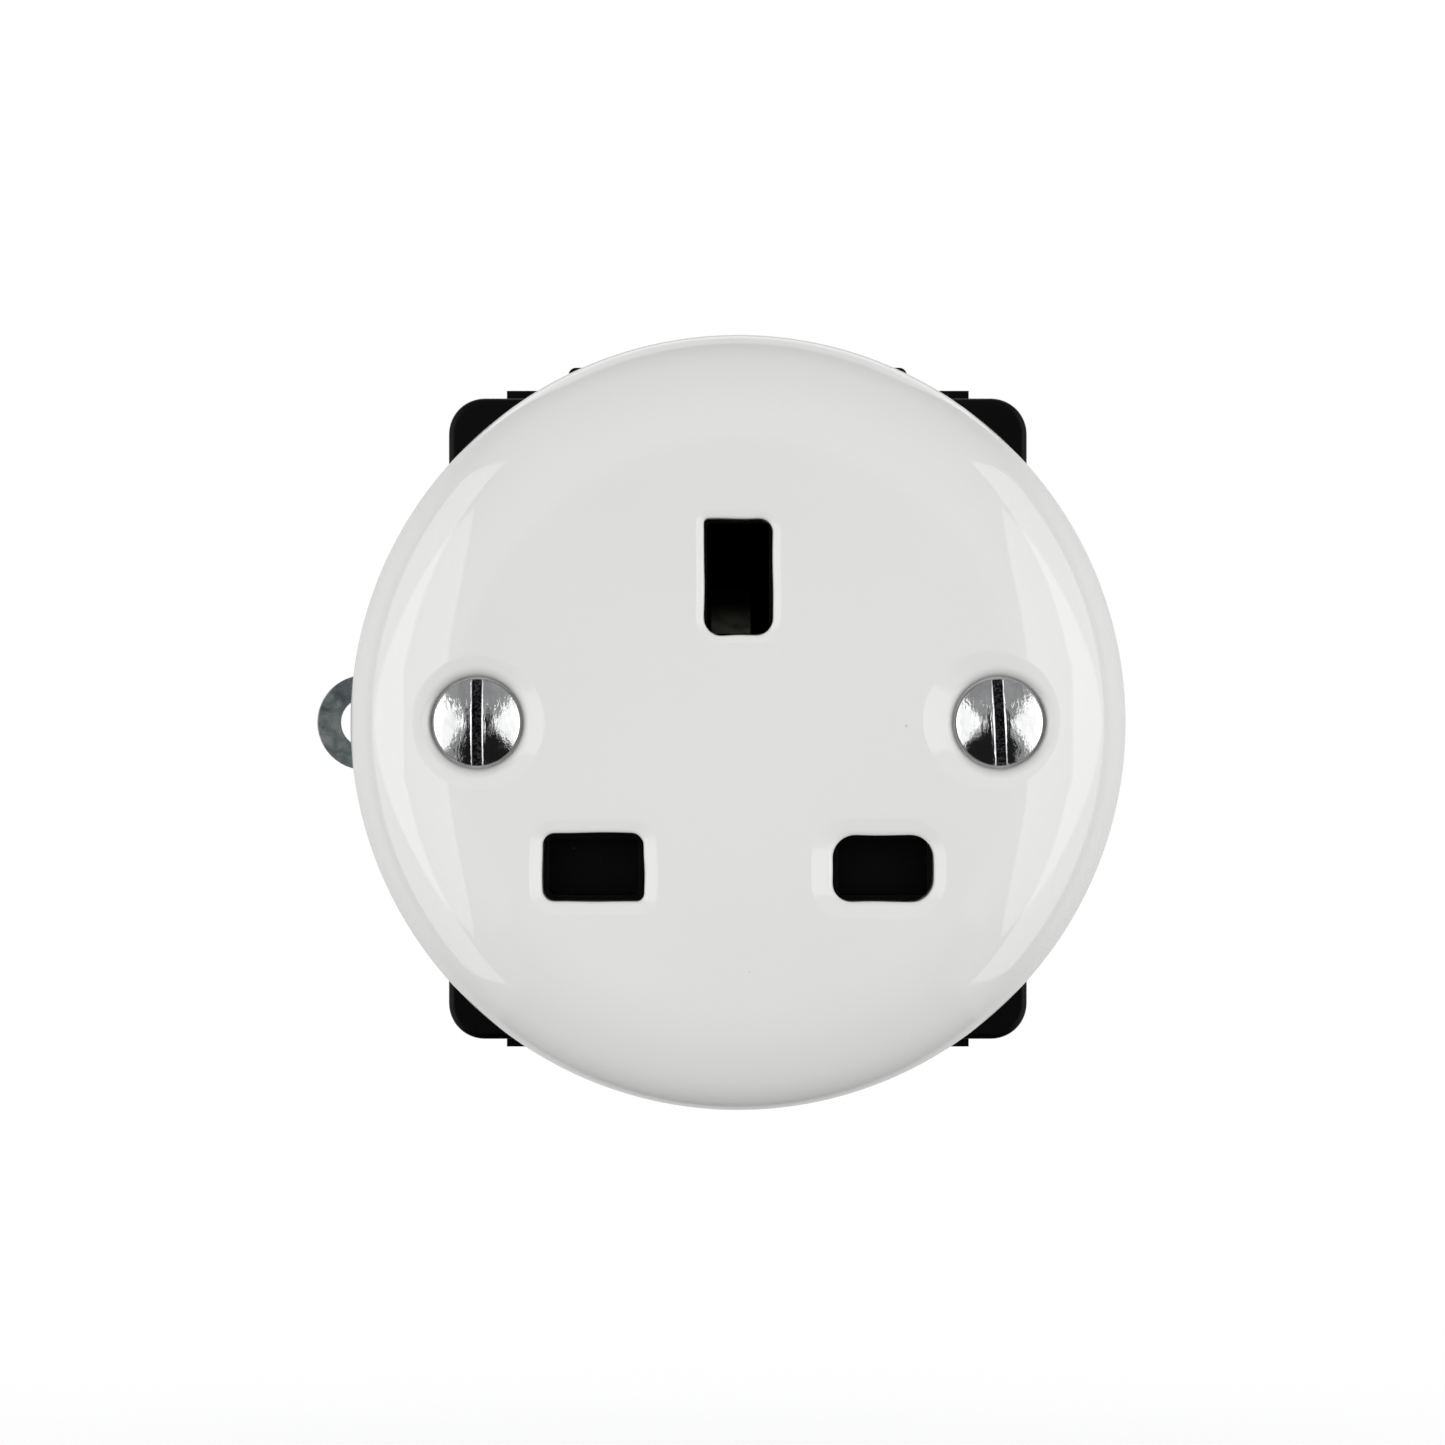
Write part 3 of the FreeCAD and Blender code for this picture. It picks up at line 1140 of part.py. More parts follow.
def corner_screw(name, across, up):
    """A pan head screw that joins the two mouldings, driven from the back."""
    body = new_body(name)
    head_back = "(Dims.flange_depth + Dims.corner_head_height)"
    tip = "(Dims.pilot_depth + Dims.pilot_play)"
    section = new_sketch(body, f"{name}_section", "Z", "0")
    outline(section, [
        ("0", tip),
        ("Dims.small_shank_radius", f"{tip} + Dims.small_shank_radius"),
        ("Dims.small_shank_radius", "Dims.flange_depth"),
        ("Dims.corner_head_radius", "Dims.flange_depth"),
        ("Dims.corner_head_radius", f"{head_back} - Dims.corner_head_round",
         "Dims.corner_head_round", "left"),
        ("Dims.corner_head_radius - Dims.corner_head_round", head_back),
        ("0", head_back),
    ])
    turn_solid(body, f"{name}_blank", section)
    slot = new_sketch(body, f"{name}_slot_outline", "Y", f"{head_back} - Dims.drive_slot_depth")
    box_about(slot, "0", "0", "Dims.drive_slot_width", f"(2 * Dims.corner_head_radius + {CLEAR})")
    pocket(body, f"{name}_slot", slot, f"Dims.drive_slot_depth + {CLEAR}")
    place(body, across, "0", up)


def build():
    """Makes every piece, from the front of the socket to its back."""
    porcelain_cover()
    cover_screw("cover_screw_left", "-", "Dims.left_screw_turn")
    cover_screw("cover_screw_right", "", "Dims.right_screw_turn")
    strap_nut("strap_nut_left", "-")
    strap_nut("strap_nut_right", "")
    mounting_strap()
    for name, (across, up) in zip(("strap_screw_left", "strap_screw_right"), strap_screw_places()):
        small_countersunk_screw(name, across, STRAP_FRONT, up, "Dims.strap_screw_length")
    front_moulding()
    shutter()
    shutter_guide()
    shutter_spring()
    rear_housing()
    line_contact("neutral_contact", "-")
    line_contact("live_contact", "")
    earth_contact()
    terminal_block("neutral_terminal", "-Dims.pin_pitch", LINE_BLOCK_UP, "Dims.block_width", ["0"])
    terminal_block("live_terminal", "Dims.pin_pitch", LINE_BLOCK_UP, "Dims.block_width", ["0"])
    terminal_block("earth_terminal", "0", "Dims.earth_block_rise", "Dims.earth_block_width",
                   ["-Dims.earth_screw_spacing / 2", "Dims.earth_screw_spacing / 2"])
    for name, across, up in terminal_places():
        terminal_screw(name, across, up)
    for name, across, up in corner_screw_places():
        corner_screw(f"housing_screw_{name}", across, up)
    back_plate()
    names = ("back_plate_screw_left", "back_plate_screw_right", "back_plate_screw_bottom")
    for name, (across, up) in zip(names, plate_screw_places()):
        small_countersunk_screw(name, across, BACK_PLATE_BACK, up, "Dims.plate_screw_length", "180")


def check_and_write():
    """Stops at anything that failed, and writes each piece to its own file."""
    doc.recompute()
    for item in doc.Objects:
        if "Invalid" in item.State or "Error" in item.State:
            raise RuntimeError(f"{item.Label} failed: {item.State}")
    for piece in pieces:
        if piece.Shape.isNull() or not piece.Shape.isValid():
            raise RuntimeError(f"{piece.Label} has no valid shape")
    os.makedirs("parts", exist_ok=True)
    for piece in pieces:
        piece.Shape.exportStep(f"parts/{piece.Label}.step")
        solids = len(piece.Shape.Solids)
        print(f"{piece.Label}: {solids} solid, {piece.Shape.Volume:.1f} mm3")


build()
check_and_write()
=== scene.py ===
import math

import bpy
import bmesh
from mathutils import Matrix, Vector, noise
from mathutils.geometry import delaunay_2d_cdt


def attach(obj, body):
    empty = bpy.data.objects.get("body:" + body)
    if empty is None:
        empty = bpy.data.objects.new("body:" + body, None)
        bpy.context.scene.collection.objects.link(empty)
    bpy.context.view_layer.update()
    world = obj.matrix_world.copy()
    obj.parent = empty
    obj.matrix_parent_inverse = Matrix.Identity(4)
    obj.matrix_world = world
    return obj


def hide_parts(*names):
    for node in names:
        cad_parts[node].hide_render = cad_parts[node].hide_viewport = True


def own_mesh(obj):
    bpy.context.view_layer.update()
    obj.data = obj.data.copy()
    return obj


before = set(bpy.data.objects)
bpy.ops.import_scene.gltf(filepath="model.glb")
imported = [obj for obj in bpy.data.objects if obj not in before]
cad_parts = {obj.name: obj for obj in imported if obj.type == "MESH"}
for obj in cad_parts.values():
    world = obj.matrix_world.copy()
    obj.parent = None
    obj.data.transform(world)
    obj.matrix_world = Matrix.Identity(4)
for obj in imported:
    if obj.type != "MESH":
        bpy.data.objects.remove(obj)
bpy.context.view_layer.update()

# A round flush socket: a glazed porcelain disc held by two slotted screws in front of a black
# moulded mechanism. The face looks along -Y and the earth slot is at the top. The socket's
# sizes are in millimetres, which MM turns to metres. The studio's sizes are in metres.
MM = 0.001
MICRON = 0.000001
TURN = 2 * math.pi

# The porcelain disc.
FACE = -11.0
INNER_FACE = -7.4
RIM_BACK = -1.6
PILLAR_END = -1.2
DISC_RADIUS = 30.0
FLAT_RADIUS = 21.0
SHOULDER_DEPTH = 6.4
SHOULDER_TURN = math.radians(35.0)
RIM_DRAFT = 0.4
RIM_ROUND = 0.7
CUP_RADIUS = 26.2
CUP_ROUND = 1.4
CUP_CHAMFER = 0.15
FIELD_RADIUS = 26.6
PILLAR_RADIUS = 3.7
SCREW_REACH = 20.0
SCREW_HOLE = 2.1
HEAD_SINK = 1.3

# The cover screws.
HEAD_RADIUS = 3.3
HEAD_DOME = 0.8
SHANK_RADIUS = 1.75
SCREW_LENGTH = 15.6
SLOT_HALF = 0.345
SLOT_DEPTH = 1.15
LIP_STEPS = [  # distance outside the slot's wall, and how deep the worn lip is there
    (0.0, 0.2), (0.02, 0.15), (0.05, 0.105), (0.09, 0.072), (0.15, 0.045), (0.19, 0.034),
    (0.23, 0.036), (0.27, 0.03), (0.33, 0.008), (0.4, 0.0),
]
LIP_SPREAD = 0.3  # how much the worn lip's width changes along the slot
LIP_WEAR = 0.35  # how much its depth changes
THREAD_DEPTH = 0.2
THREAD_PITCH = 0.5
THREAD_START = 0.6  # how far behind the head's cone the thread begins
PLAIN_TIP = 1.2
TIP_CHAMFER = 0.4


# Materials.

class Value:
    """A socket in a node tree, with arithmetic."""

    def __init__(self, tree, socket):
        self.tree = tree
        self.socket = socket

    def maths(self, operation, *others):
        return self.tree.maths(operation, self, *others)

    def __add__(self, other):
        return self.maths("ADD", other)

    __radd__ = __add__

    def __mul__(self, other):
        return self.maths("MULTIPLY", other)

    __rmul__ = __mul__

    def __sub__(self, other):
        return self.maths("SUBTRACT", other)

    def __rsub__(self, other):
        return self.tree.maths("SUBTRACT", other, self)

    def __truediv__(self, other):
        return self.maths("DIVIDE", other)

    def __rtruediv__(self, other):
        return self.tree.maths("DIVIDE", other, self)

    def __pow__(self, other):
        return self.maths("POWER", other)

    def __rpow__(self, other):
        return self.tree.maths("POWER", other, self)

    def under(self, limit):
        """1 where the value is under a limit, or else 0."""
        return self.maths("LESS_THAN", limit)

    def ramp(self, low, high):
        """0 at low and 1 at high, with smooth ends."""
        return self.tree.node("ShaderNodeMapRange", {"interpolation_type": "SMOOTHSTEP"}, {
            "Value": self, "From Min": low, "From Max": high, "To Min": 0.0, "To Max": 1.0,
        })["Result"]


class Tree:
    """A node tree that is written as values."""

    def __init__(self, nodes):
        self.nodes = nodes

    def node(self, kind, settings=None, sockets=None):
        """Adds a node and returns its outputs by name."""
        made = self.nodes.nodes.new(kind)
        for key, setting in (settings or {}).items():
            setattr(made, key, setting)
        for key, item in (sockets or {}).items():
            self.feed(made.inputs[key], item)
        return {out.name: Value(self, out) for out in made.outputs if out.enabled}

    def maths(self, operation, *items):
        """A Math node on values and numbers."""
        return self.node("ShaderNodeMath", {"operation": operation}, dict(enumerate(items)))["Value"]

    def feed(self, socket, item):
        """Links a value to a socket, or sets the socket to a constant."""
        if isinstance(item, Value):
            self.nodes.links.new(item.socket, socket)
        else:
            socket.default_value = item


class Finish(Tree):
    """One surface finish: a node tree round a Principled shader."""

    def __init__(self, name, constants):
        self.material = bpy.data.materials.new(name)
        self.material.use_nodes = True
        super().__init__(self.material.node_tree)
        self.shader = self.nodes.nodes["Principled BSDF"]
        self.output = self.nodes.nodes["Material Output"]
        for key, number in constants.items():
            self.set(key, number)

    def set(self, name, item):
        """Gives one of the shader's inputs a value or a constant."""
        self.feed(self.shader.inputs[name], item)

    def place(self, scale=(1.0, 1.0, 1.0)):
        """The point on the piece, in metres, scaled."""
        point = self.node("ShaderNodeTexCoord")["Object"]
        return self.node("ShaderNodeMapping", {}, {"Vector": point, "Scale": scale})["Vector"]

    def coordinates(self):
        """The three coordinates of a point on the piece, in metres."""
        point = self.node("ShaderNodeTexCoord")["Object"]
        parts = self.node("ShaderNodeSeparateXYZ", {}, {"Vector": point})
        return parts["X"], parts["Y"], parts["Z"]

    def cloud(self, scale, detail=3.0, roughness=0.5, distortion=0.0, stretch=(1.0, 1.0, 1.0)):
        """Noise from 0 to 1. scale is in features per metre."""
        return self.node("ShaderNodeTexNoise", {}, {
            "Vector": self.place(stretch), "Scale": scale, "Detail": detail,
            "Roughness": roughness, "Distortion": distortion,
        })["Fac"]

    def specks(self, scale, size):
        """Small round dots, 1 inside a dot. size is from 0 to 1 of the spacing."""
        near = self.node("ShaderNodeTexVoronoi", {"feature": "F1"}, {
            "Vector": self.place(), "Scale": scale, "Randomness": 1.0,
        })["Distance"]
        return 1.0 - near.ramp(size * 0.6, size)

    def blend(self, amount, first, second):
        """A colour between two colours: the first where the amount is 0, the second where it is 1."""
        return self.node("ShaderNodeMix", {"data_type": "RGBA"}, {
            "Factor": amount, 6: first, 7: second})["Result"]

    def relief(self, height, microns, strength, under=None):
        """A bump that stands a number of microns high where its height is 1."""
        sockets = {"Height": height, "Distance": microns * MICRON, "Strength": strength}
        if under is not None:
            sockets["Normal"] = under
        return self.node("ShaderNodeBump", {}, sockets)["Normal"]

    def facing(self):
        """The absolute part of the surface's normal along Y: 1 on faces, 0 on edges."""
        normal = self.node("ShaderNodeNewGeometry")["Normal"]
        return self.node("ShaderNodeSeparateXYZ", {}, {"Vector": normal})["Y"].maths("ABSOLUTE")


def shade(red, green, blue):
    """A colour written as it shows on the screen, from 0 to 255."""
    linear = [(part / 255 / 12.92) if part <= 10 else ((part / 255 + 0.055) / 1.055) ** 2.4
              for part in (red, green, blue)]
    return (*linear, 1.0)


def glazed_porcelain():
    """White glaze with faint ripples, pinholes, a bare foot ring, and metal marks and painted shade
    round the screw heads.
    """
    f = Finish("glazed_porcelain", {"IOR": 1.75})
    across, depth, up = f.coordinates()
    drift = f.cloud(28.0, 2.0)
    tone = f.blend(drift.ramp(0.3, 0.7), shade(230, 230, 227), shade(233, 233, 231))
    pits = f.specks(240.0, 0.045)
    patchy = f.cloud(90.0, 1.0).ramp(0.5, 0.6)
    tone = f.blend(pits * patchy * 0.35, tone, shade(168, 162, 150))
    # Round each screw head the glaze is greyer: partly metal marks, partly painted shade in the gap
    # round the head.
    reach = ((across.maths("ABSOLUTE") - SCREW_REACH * MM) ** 2.0 + up ** 2.0) ** 0.5
    metal_marks_and_shade = 1.0 - reach.ramp((HEAD_RADIUS + 0.2) * MM, (HEAD_RADIUS + 1.1) * MM)
    tone = f.blend(metal_marks_and_shade * 0.35, tone, shade(150, 151, 150))
    bare = depth.ramp((RIM_BACK - 0.12) * MM, (RIM_BACK - 0.02) * MM)
    tone = f.blend(bare, tone, shade(214, 208, 196))
    f.set("Base Color", tone)
    gloss = f.cloud(60.0, 2.0).ramp(0.25, 0.75) * 0.02 + 0.02
    f.set("Roughness", gloss + bare * 0.6)
    ripple = f.relief(f.cloud(75.0, 1.5, 0.4), 30, 0.5)
    peel = f.relief(f.cloud(520.0, 2.0), 4, 0.5, ripple)
    grain = f.relief(f.cloud(3800.0, 2.0) * bare, 30, 0.6, peel)
    f.set("Normal", f.relief(1.0 - pits * patchy, 20, 0.5, grain))
    return f.material


def plated_chrome():
    """Bright plate on a polished head: fine scuffs, faint clouding and a dull slot whose dark floor is
    partly painted shade.
    """
    f = Finish("plated_chrome", {"Metallic": 1.0})
    _, depth, up = f.coordinates()
    grain = f.cloud(5200.0, 3.0, 0.6)
    blotch = f.cloud(900.0, 4.0, 0.6, 0.6)
    bottom = FACE + SLOT_DEPTH
    low = depth.ramp((bottom - 0.2) * MM, (bottom - 0.05) * MM) * (
        1.0 - depth.ramp((bottom + 0.05) * MM, (bottom + 0.2) * MM))
    streak = f.cloud(420.0, 4.0, 0.65, 0.5, (1.6, 1.0, 0.5))
    bright = f.blend(blotch.ramp(0.35, 0.7), shade(246, 246, 246), shade(230, 230, 230))
    bright = f.blend(streak.ramp(0.42, 0.62) * 0.45, bright, shade(204, 204, 205))
    # The slot's floor is dark: dull, pitted plate, and painted shade down in the narrow slot.
    pitted_and_shaded = f.blend(grain.ramp(0.42, 0.62), shade(34, 32, 34), shade(104, 102, 106))
    f.set("Base Color", f.blend(low, bright, pitted_and_shaded))
    f.set("Roughness", blotch.ramp(0.45, 0.75) * 0.12 + 0.07 + low * 0.3)
    slips = f.cloud(1900.0, 2.0, 0.5, 1.5, (1.0, 1.0, 0.45)).ramp(0.45, 0.6)
    slips = slips * up.ramp(0.9 * MM, 1.2 * MM) * (1.0 - up.ramp(1.5 * MM, 2.1 * MM))
    scuff = f.relief(slips, 18, 0.6, f.relief(grain, 14, 0.5))
    f.set("Normal", f.relief(streak, 90, 0.6, f.relief(blotch, 40, 0.6, scuff)))
    return f.material


def zinc_steel():
    """Sheet steel with a mottled blue-grey zinc passivation and brighter sheared edges."""
    f = Finish("zinc_steel", {"Metallic": 0.85})
    spangle = f.cloud(650.0, 5.0, 0.7, 0.4)
    stain = f.cloud(160.0, 3.0, 0.6)
    edge = 1.0 - f.facing().ramp(0.25, 0.9)
    tone = f.blend(spangle.ramp(0.3, 0.72), shade(98, 105, 108), shade(162, 168, 168))
    tone = f.blend(stain.ramp(0.55, 0.75) * 0.5, tone, shade(84, 98, 102))
    f.set("Base Color", f.blend(edge * 0.7, tone, shade(176, 182, 184)))
    f.set("Roughness", spangle * 0.25 + 0.3)
    f.set("Normal", f.relief(spangle, 30, 0.5))
    return f.material


def dull_plate():
    """Small plated steel screws."""
    f = Finish("dull_plate", {"Metallic": 0.9})
    spangle = f.cloud(2600.0, 4.0, 0.65)
    stain = f.cloud(420.0, 3.0)
    tone = f.blend(spangle.ramp(0.3, 0.7), shade(172, 170, 164), shade(204, 203, 198))
    f.set("Base Color", f.blend(stain.ramp(0.5, 0.75) * 0.5, tone, shade(140, 134, 120)))
    f.set("Roughness", spangle * 0.18 + stain * 0.14 + 0.14)
    f.set("Normal", f.relief(spangle, 10, 0.5))
    return f.material


def stamped_brass(name, bright, dark):
    """Brass with tarnish and drawn lines."""
    f = Finish(name, {"Metallic": 1.0})
    tarnish = f.cloud(260.0, 4.0, 0.6)
    lines = f.cloud(900.0, 3.0, 0.6, 0.0, (1.0, 0.08, 1.0))
    f.set("Base Color", f.blend(tarnish.ramp(0.35, 0.75), bright, dark))
    f.set("Roughness", tarnish * 0.25 + lines * 0.12 + 0.12)
    f.set("Normal", f.relief(lines, 10, 0.5))
    return f.material


def drawn_wire():
    """Spring wire."""
    f = Finish("drawn_wire", {"Metallic": 1.0})
    lines = f.cloud(2400.0, 3.0)
    f.set("Base Color", f.blend(lines.ramp(0.3, 0.7), shade(150, 150, 150), shade(186, 184, 180)))
    f.set("Roughness", lines * 0.2 + 0.25)
    return f.material


def moulded(name, dark, light, rough, grain, metal_marks_and_shade=None):
    """Moulded plastic: spark-eroded grain, faint flow marks, a little dust and a rubbed top."""
    f = Finish(name, {"Specular IOR Level": 0.14})
    flow = f.cloud(70.0, 3.0, 0.55, 0.8)
    dust = f.specks(900.0, 0.12) * f.cloud(200.0, 2.0).ramp(0.52, 0.66)
    tone = f.blend(flow.ramp(0.3, 0.7), dark, light)
    if metal_marks_and_shade is not None:
        _, _, up = f.coordinates()
        worn = up.ramp(6.0 * MM, 6.4 * MM) * (1.0 - up.ramp(6.4 * MM, 9.4 * MM))
        tone = f.blend(worn * f.cloud(700.0, 3.0).ramp(0.1, 0.6), tone, metal_marks_and_shade)
    f.set("Base Color", f.blend(dust * 0.12, tone, shade(120, 118, 112)))
    spark = f.cloud(3600.0, 3.0, 0.6)
    f.set("Roughness", flow * 0.08 + spark * 0.1 + rough)
    f.set("Normal", f.relief(spark, grain, 0.6))
    return f.material


PORCELAIN = glazed_porcelain()
CHROME = plated_chrome()
ZINC = zinc_steel()
PLATE = dull_plate()
BRASS = stamped_brass("stamped_brass", shade(214, 184, 112), shade(168, 132, 70))
# The contacts' brass is painted near black: painted shade deep inside the slots.
SHADED_BRASS = stamped_brass("darkened_brass", shade(58, 52, 40), shade(38, 35, 28))
WIRE = drawn_wire()
BLACK = moulded("black_moulding", shade(2, 3, 2), shade(4, 5, 4), 0.28, 18)
INNER = moulded("inner_moulding", shade(1, 3, 2), shade(3, 5, 4), 0.4, 10, shade(86, 85, 78))


# Meshes.

def in_scene(name, data):
    """A new object in the scene."""
    item = bpy.data.objects.new(name, data)
    bpy.context.scene.collection.objects.link(item)
    return item


def piece_from(maker, name, material, sharp):
    """Makes an object from a bmesh in millimetres, smooth with sharp edges kept."""
    bmesh.ops.remove_doubles(maker, verts=maker.verts, dist=1e-5)
    bmesh.ops.recalc_face_normals(maker, faces=maker.faces)
    for vert in maker.verts:
        vert.co *= MM
    mesh = bpy.data.meshes.new(name)
    maker.to_mesh(mesh)
    maker.free()
    mesh.materials.append(material)
    mesh.shade_smooth()
    mesh.set_sharp_from_angle(angle=math.radians(sharp))
    return in_scene(name, mesh)


def settle(piece, nodes, body="mechanism"):
    """Says which solids a piece stands for, and the body it moves with."""
    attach(piece, body)
    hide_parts(*nodes)


def polar(centre, radius, angle):
    """The point at a distance and an angle from a centre."""
    return centre[0] + radius * math.cos(angle), centre[1] + radius * math.sin(angle)


def circle_points(radius, count, centre=(0.0, 0.0)):
    """Points round a circle."""
    return [polar(centre, radius, TURN * number / count) for number in range(count)]


CORNER_STEPS = 8
EDGE_STEPS = 12


def slot_points(centre, width, height, corners, wave, grow):
    """A rounded rectangle, a little wavy, grown outwards. corners run from the lower left."""
    half_wide, half_high = width / 2, height / 2
    quarters = [
        (-half_wide, -half_high, math.pi), (half_wide, -half_high, 1.5 * math.pi),
        (half_wide, half_high, 0.0), (-half_wide, half_high, 0.5 * math.pi),
    ]
    arcs = []
    for (across, up, start), radius in zip(quarters, corners):
        middle = (across - math.copysign(radius, across), up - math.copysign(radius, up))
        arcs.append([(middle, radius, start + 0.5 * math.pi * step / CORNER_STEPS)
                     for step in range(CORNER_STEPS + 1)])
    points = []
    for number, arc in enumerate(arcs):
        points += [(*polar(*step), step[2]) for step in arc]
        end = polar(*arcs[(number + 1) % 4][0])
        start = points[-1]
        for step in range(1, EDGE_STEPS):
            share = step / EDGE_STEPS
            points.append((start[0] + (end[0] - start[0]) * share,
                           start[1] + (end[1] - start[1]) * share, start[2]))
    out = []
    for across, up, angle in points:
        turn = math.atan2(up / half_high, across / half_wide)
        bend = sum(size * math.cos(order * turn + phase) for order, size, phase in wave)
        out.append(polar((centre[0] + across, centre[1] + up), grow + bend, angle))
    return out


SHOULDER_RUN = DISC_RADIUS - FLAT_RADIUS
SINE, COSINE = math.sin(SHOULDER_TURN), math.cos(SHOULDER_TURN)
SIDE_ARC = (SHOULDER_DEPTH * SINE - SHOULDER_RUN * (1 - COSINE)) / (
    COSINE * SINE - (1 - SINE) * (1 - COSINE))
FACE_ARC = (SHOULDER_RUN - SIDE_ARC * (1 - SINE)) / SINE
SIDE_CENTRE = DISC_RADIUS - SIDE_ARC
JOINT_RADIUS = FLAT_RADIUS + FACE_ARC * SINE
FACE_ARC_STEPS = 8
SIDE_ARC_STEPS = 24


def face_level(radius):
    """How far back the glazed face lies at a radius."""
    if radius <= FLAT_RADIUS:
        return FACE
    if radius <= JOINT_RADIUS:
        run = radius - FLAT_RADIUS
        return FACE + FACE_ARC - math.sqrt(FACE_ARC ** 2 - run ** 2)
    run = min(radius - SIDE_CENTRE, SIDE_ARC)
    return FACE + SHOULDER_DEPTH - math.sqrt(SIDE_ARC ** 2 - run ** 2)


def shoulder_rings():
    """Radius and level of the rings that carry the shoulder on to the rim."""
    start = math.asin((FIELD_RADIUS - FLAT_RADIUS) / FACE_ARC)
    rings = []
    for step in range(1, FACE_ARC_STEPS + 1):
        angle = start + (SHOULDER_TURN - start) * step / FACE_ARC_STEPS
        rings.append((FLAT_RADIUS + FACE_ARC * math.sin(angle),
                      FACE + FACE_ARC * (1 - math.cos(angle))))
    for step in range(1, SIDE_ARC_STEPS + 1):
        angle = SHOULDER_TURN + (math.pi / 2 - SHOULDER_TURN) * step / SIDE_ARC_STEPS
        rings.append((SIDE_CENTRE + SIDE_ARC * math.sin(angle),
                      FACE + SHOULDER_DEPTH - SIDE_ARC * math.cos(angle)))
    return rings


DISHES = [  # the screw's place across, how far the dish lies off it across and up, its radius
    (-SCREW_REACH, 0.08, 0.0, 5.12), (SCREW_REACH, -0.6, 0.2, 5.28),
]
DISH_SLOPE = 0.27
DISH_SOFTNESS = 0.05  # how far from its edge the dish's slope sets in
DISH_BORDER = 0.6  # how far outside the dish its first ring lies
DISH_EDGE = (0.25, 0.12, 0.05, 0.0, -0.05, -0.12, -0.25)  # how far outside the next rings lie
DISH_STEPS = 6
WELL_STEPS = [  # distance from the screw's axis, and how much deeper than the dish the well is
    (3.38, 1.33), (3.44, 0.95), (3.5, 0.78), (3.56, 0.58), (3.62, 0.41), (3.7, 0.27), (3.8, 0.16),
    (3.94, 0.08), (4.12, 0.02), (4.3, 0.0),
]
WELL_BOTTOM = 1.33
HEAD_GAP = 0.05
SEAT_GAP = 0.06
DISH_SIDES = 120
SLOTS = {
    "earth": dict(centre=(0.02, 11.13), width=5.26, height=8.92, corners=(1.4, 1.3, 1.05, 0.36),
                  wave=((3, 0.02, 0.5), (4, 0.022, 2.6), (6, 0.012, 1.0)), sink=0.62, drift=0.0),
    "neutral": dict(centre=(-11.08, -11.07), width=7.78, height=5.26, corners=(0.9, 0.62, 1.0, 0.92),
                    wave=((3, 0.018, 2.0), (4, 0.02, 0.4), (5, 0.012, 1.0)), sink=1.0, drift=0.0),
    "live": dict(centre=(11.09, -11.17), width=7.66, height=5.16, corners=(1.45, 1.7, 1.75, 1.8),
                 wave=((2, 0.045, 0.2), (4, 0.01, 3.3), (5, 0.015, 0.2)), sink=1.3, drift=-0.35),
}
SINK_STEPS = [  # share of the sink's width outside the slot, its depth as a share, the roll's depth
    (1.05, 0.0, 0.0), (1.0, 0.005, 0.0), (0.95, 0.016, 0.0), (0.8, 0.053, 0.0), (0.6, 0.102, 0.0),
    (0.4, 0.15, 0.0), (0.25, 0.19, 0.005), (0.17, 0.21, 0.025), (0.11, 0.225, 0.06),
    (0.06, 0.235, 0.11), (0.03, 0.24, 0.16), (0.01, 0.245, 0.22), (0.0, 0.25, 0.32),
]
WALL_STEPS = (0.8, 1.4, 2.4)  # how far behind the face rings lie on a slot's wall


def slot_rings(maker, level, centre, sink, drift, **rule):
    """The rings of one slot, from the face round the glazed edge and down the wall."""
    rings = []
    for share, sunk, roll in SINK_STEPS:
        middle = (centre[0] + drift * share, centre[1])
        points = slot_points(middle, grow=share * sink, **rule)
        rings.append(ring_of(maker, points, lambda a, u, d=sunk * sink + roll: level(a, u) + d))
    walls = slot_points(centre, grow=0.0, **rule)
    rings += [ring_of(maker, walls, FACE + depth) for depth in WALL_STEPS]
    rings.append(ring_of(maker, walls, INNER_FACE))
    return rings


def ring_of(maker, points, level):
    """A ring of vertices. level is a number, or a rule for each point."""
    return [maker.verts.new((across, level(across, up) if callable(level) else level, up))
            for across, up in points]


def dish_rings(maker, level, axis, drift, rise, reach):
    """The rings of one screw's dish, from the face down to the bottom of its well."""
    def dished(across, up):
        inwards = reach - math.hypot(across - axis - drift, up - rise)
        dish = DISH_SLOPE * (inwards + math.sqrt(inwards ** 2 + DISH_SOFTNESS ** 2)) / 2
        well = between(WELL_STEPS, math.hypot(across - axis, up))
        return level(across, up) + min(dish + well, WELL_BOTTOM)

    def ring(radius, share, rule=dished):
        """A ring whose centre has gone a share of the way from the dish's to the screw's."""
        middle = (axis + drift * (1.0 - share), rise * (1.0 - share))
        return ring_of(maker, circle_points(radius, DISH_SIDES, middle), rule)

    start, stop = reach + DISH_EDGE[-1], WELL_STEPS[-1][0]
    rings = [ring(reach + DISH_BORDER, 0.0, level)]
    rings += [ring(reach + outside, 0.0) for outside in DISH_EDGE]
    for step in range(1, DISH_STEPS):
        share = step / DISH_STEPS
        rings.append(ring(start + (stop - start) * share, share))
    rings += [ring(radius, 1.0) for radius, _ in reversed(WELL_STEPS)]
    return rings


def band(maker, first, second):
    """Faces between two rings of one length."""
    count = len(first)
    for number in range(count):
        after = (number + 1) % count
        maker.faces.new((first[number], first[after], second[after], second[number]))


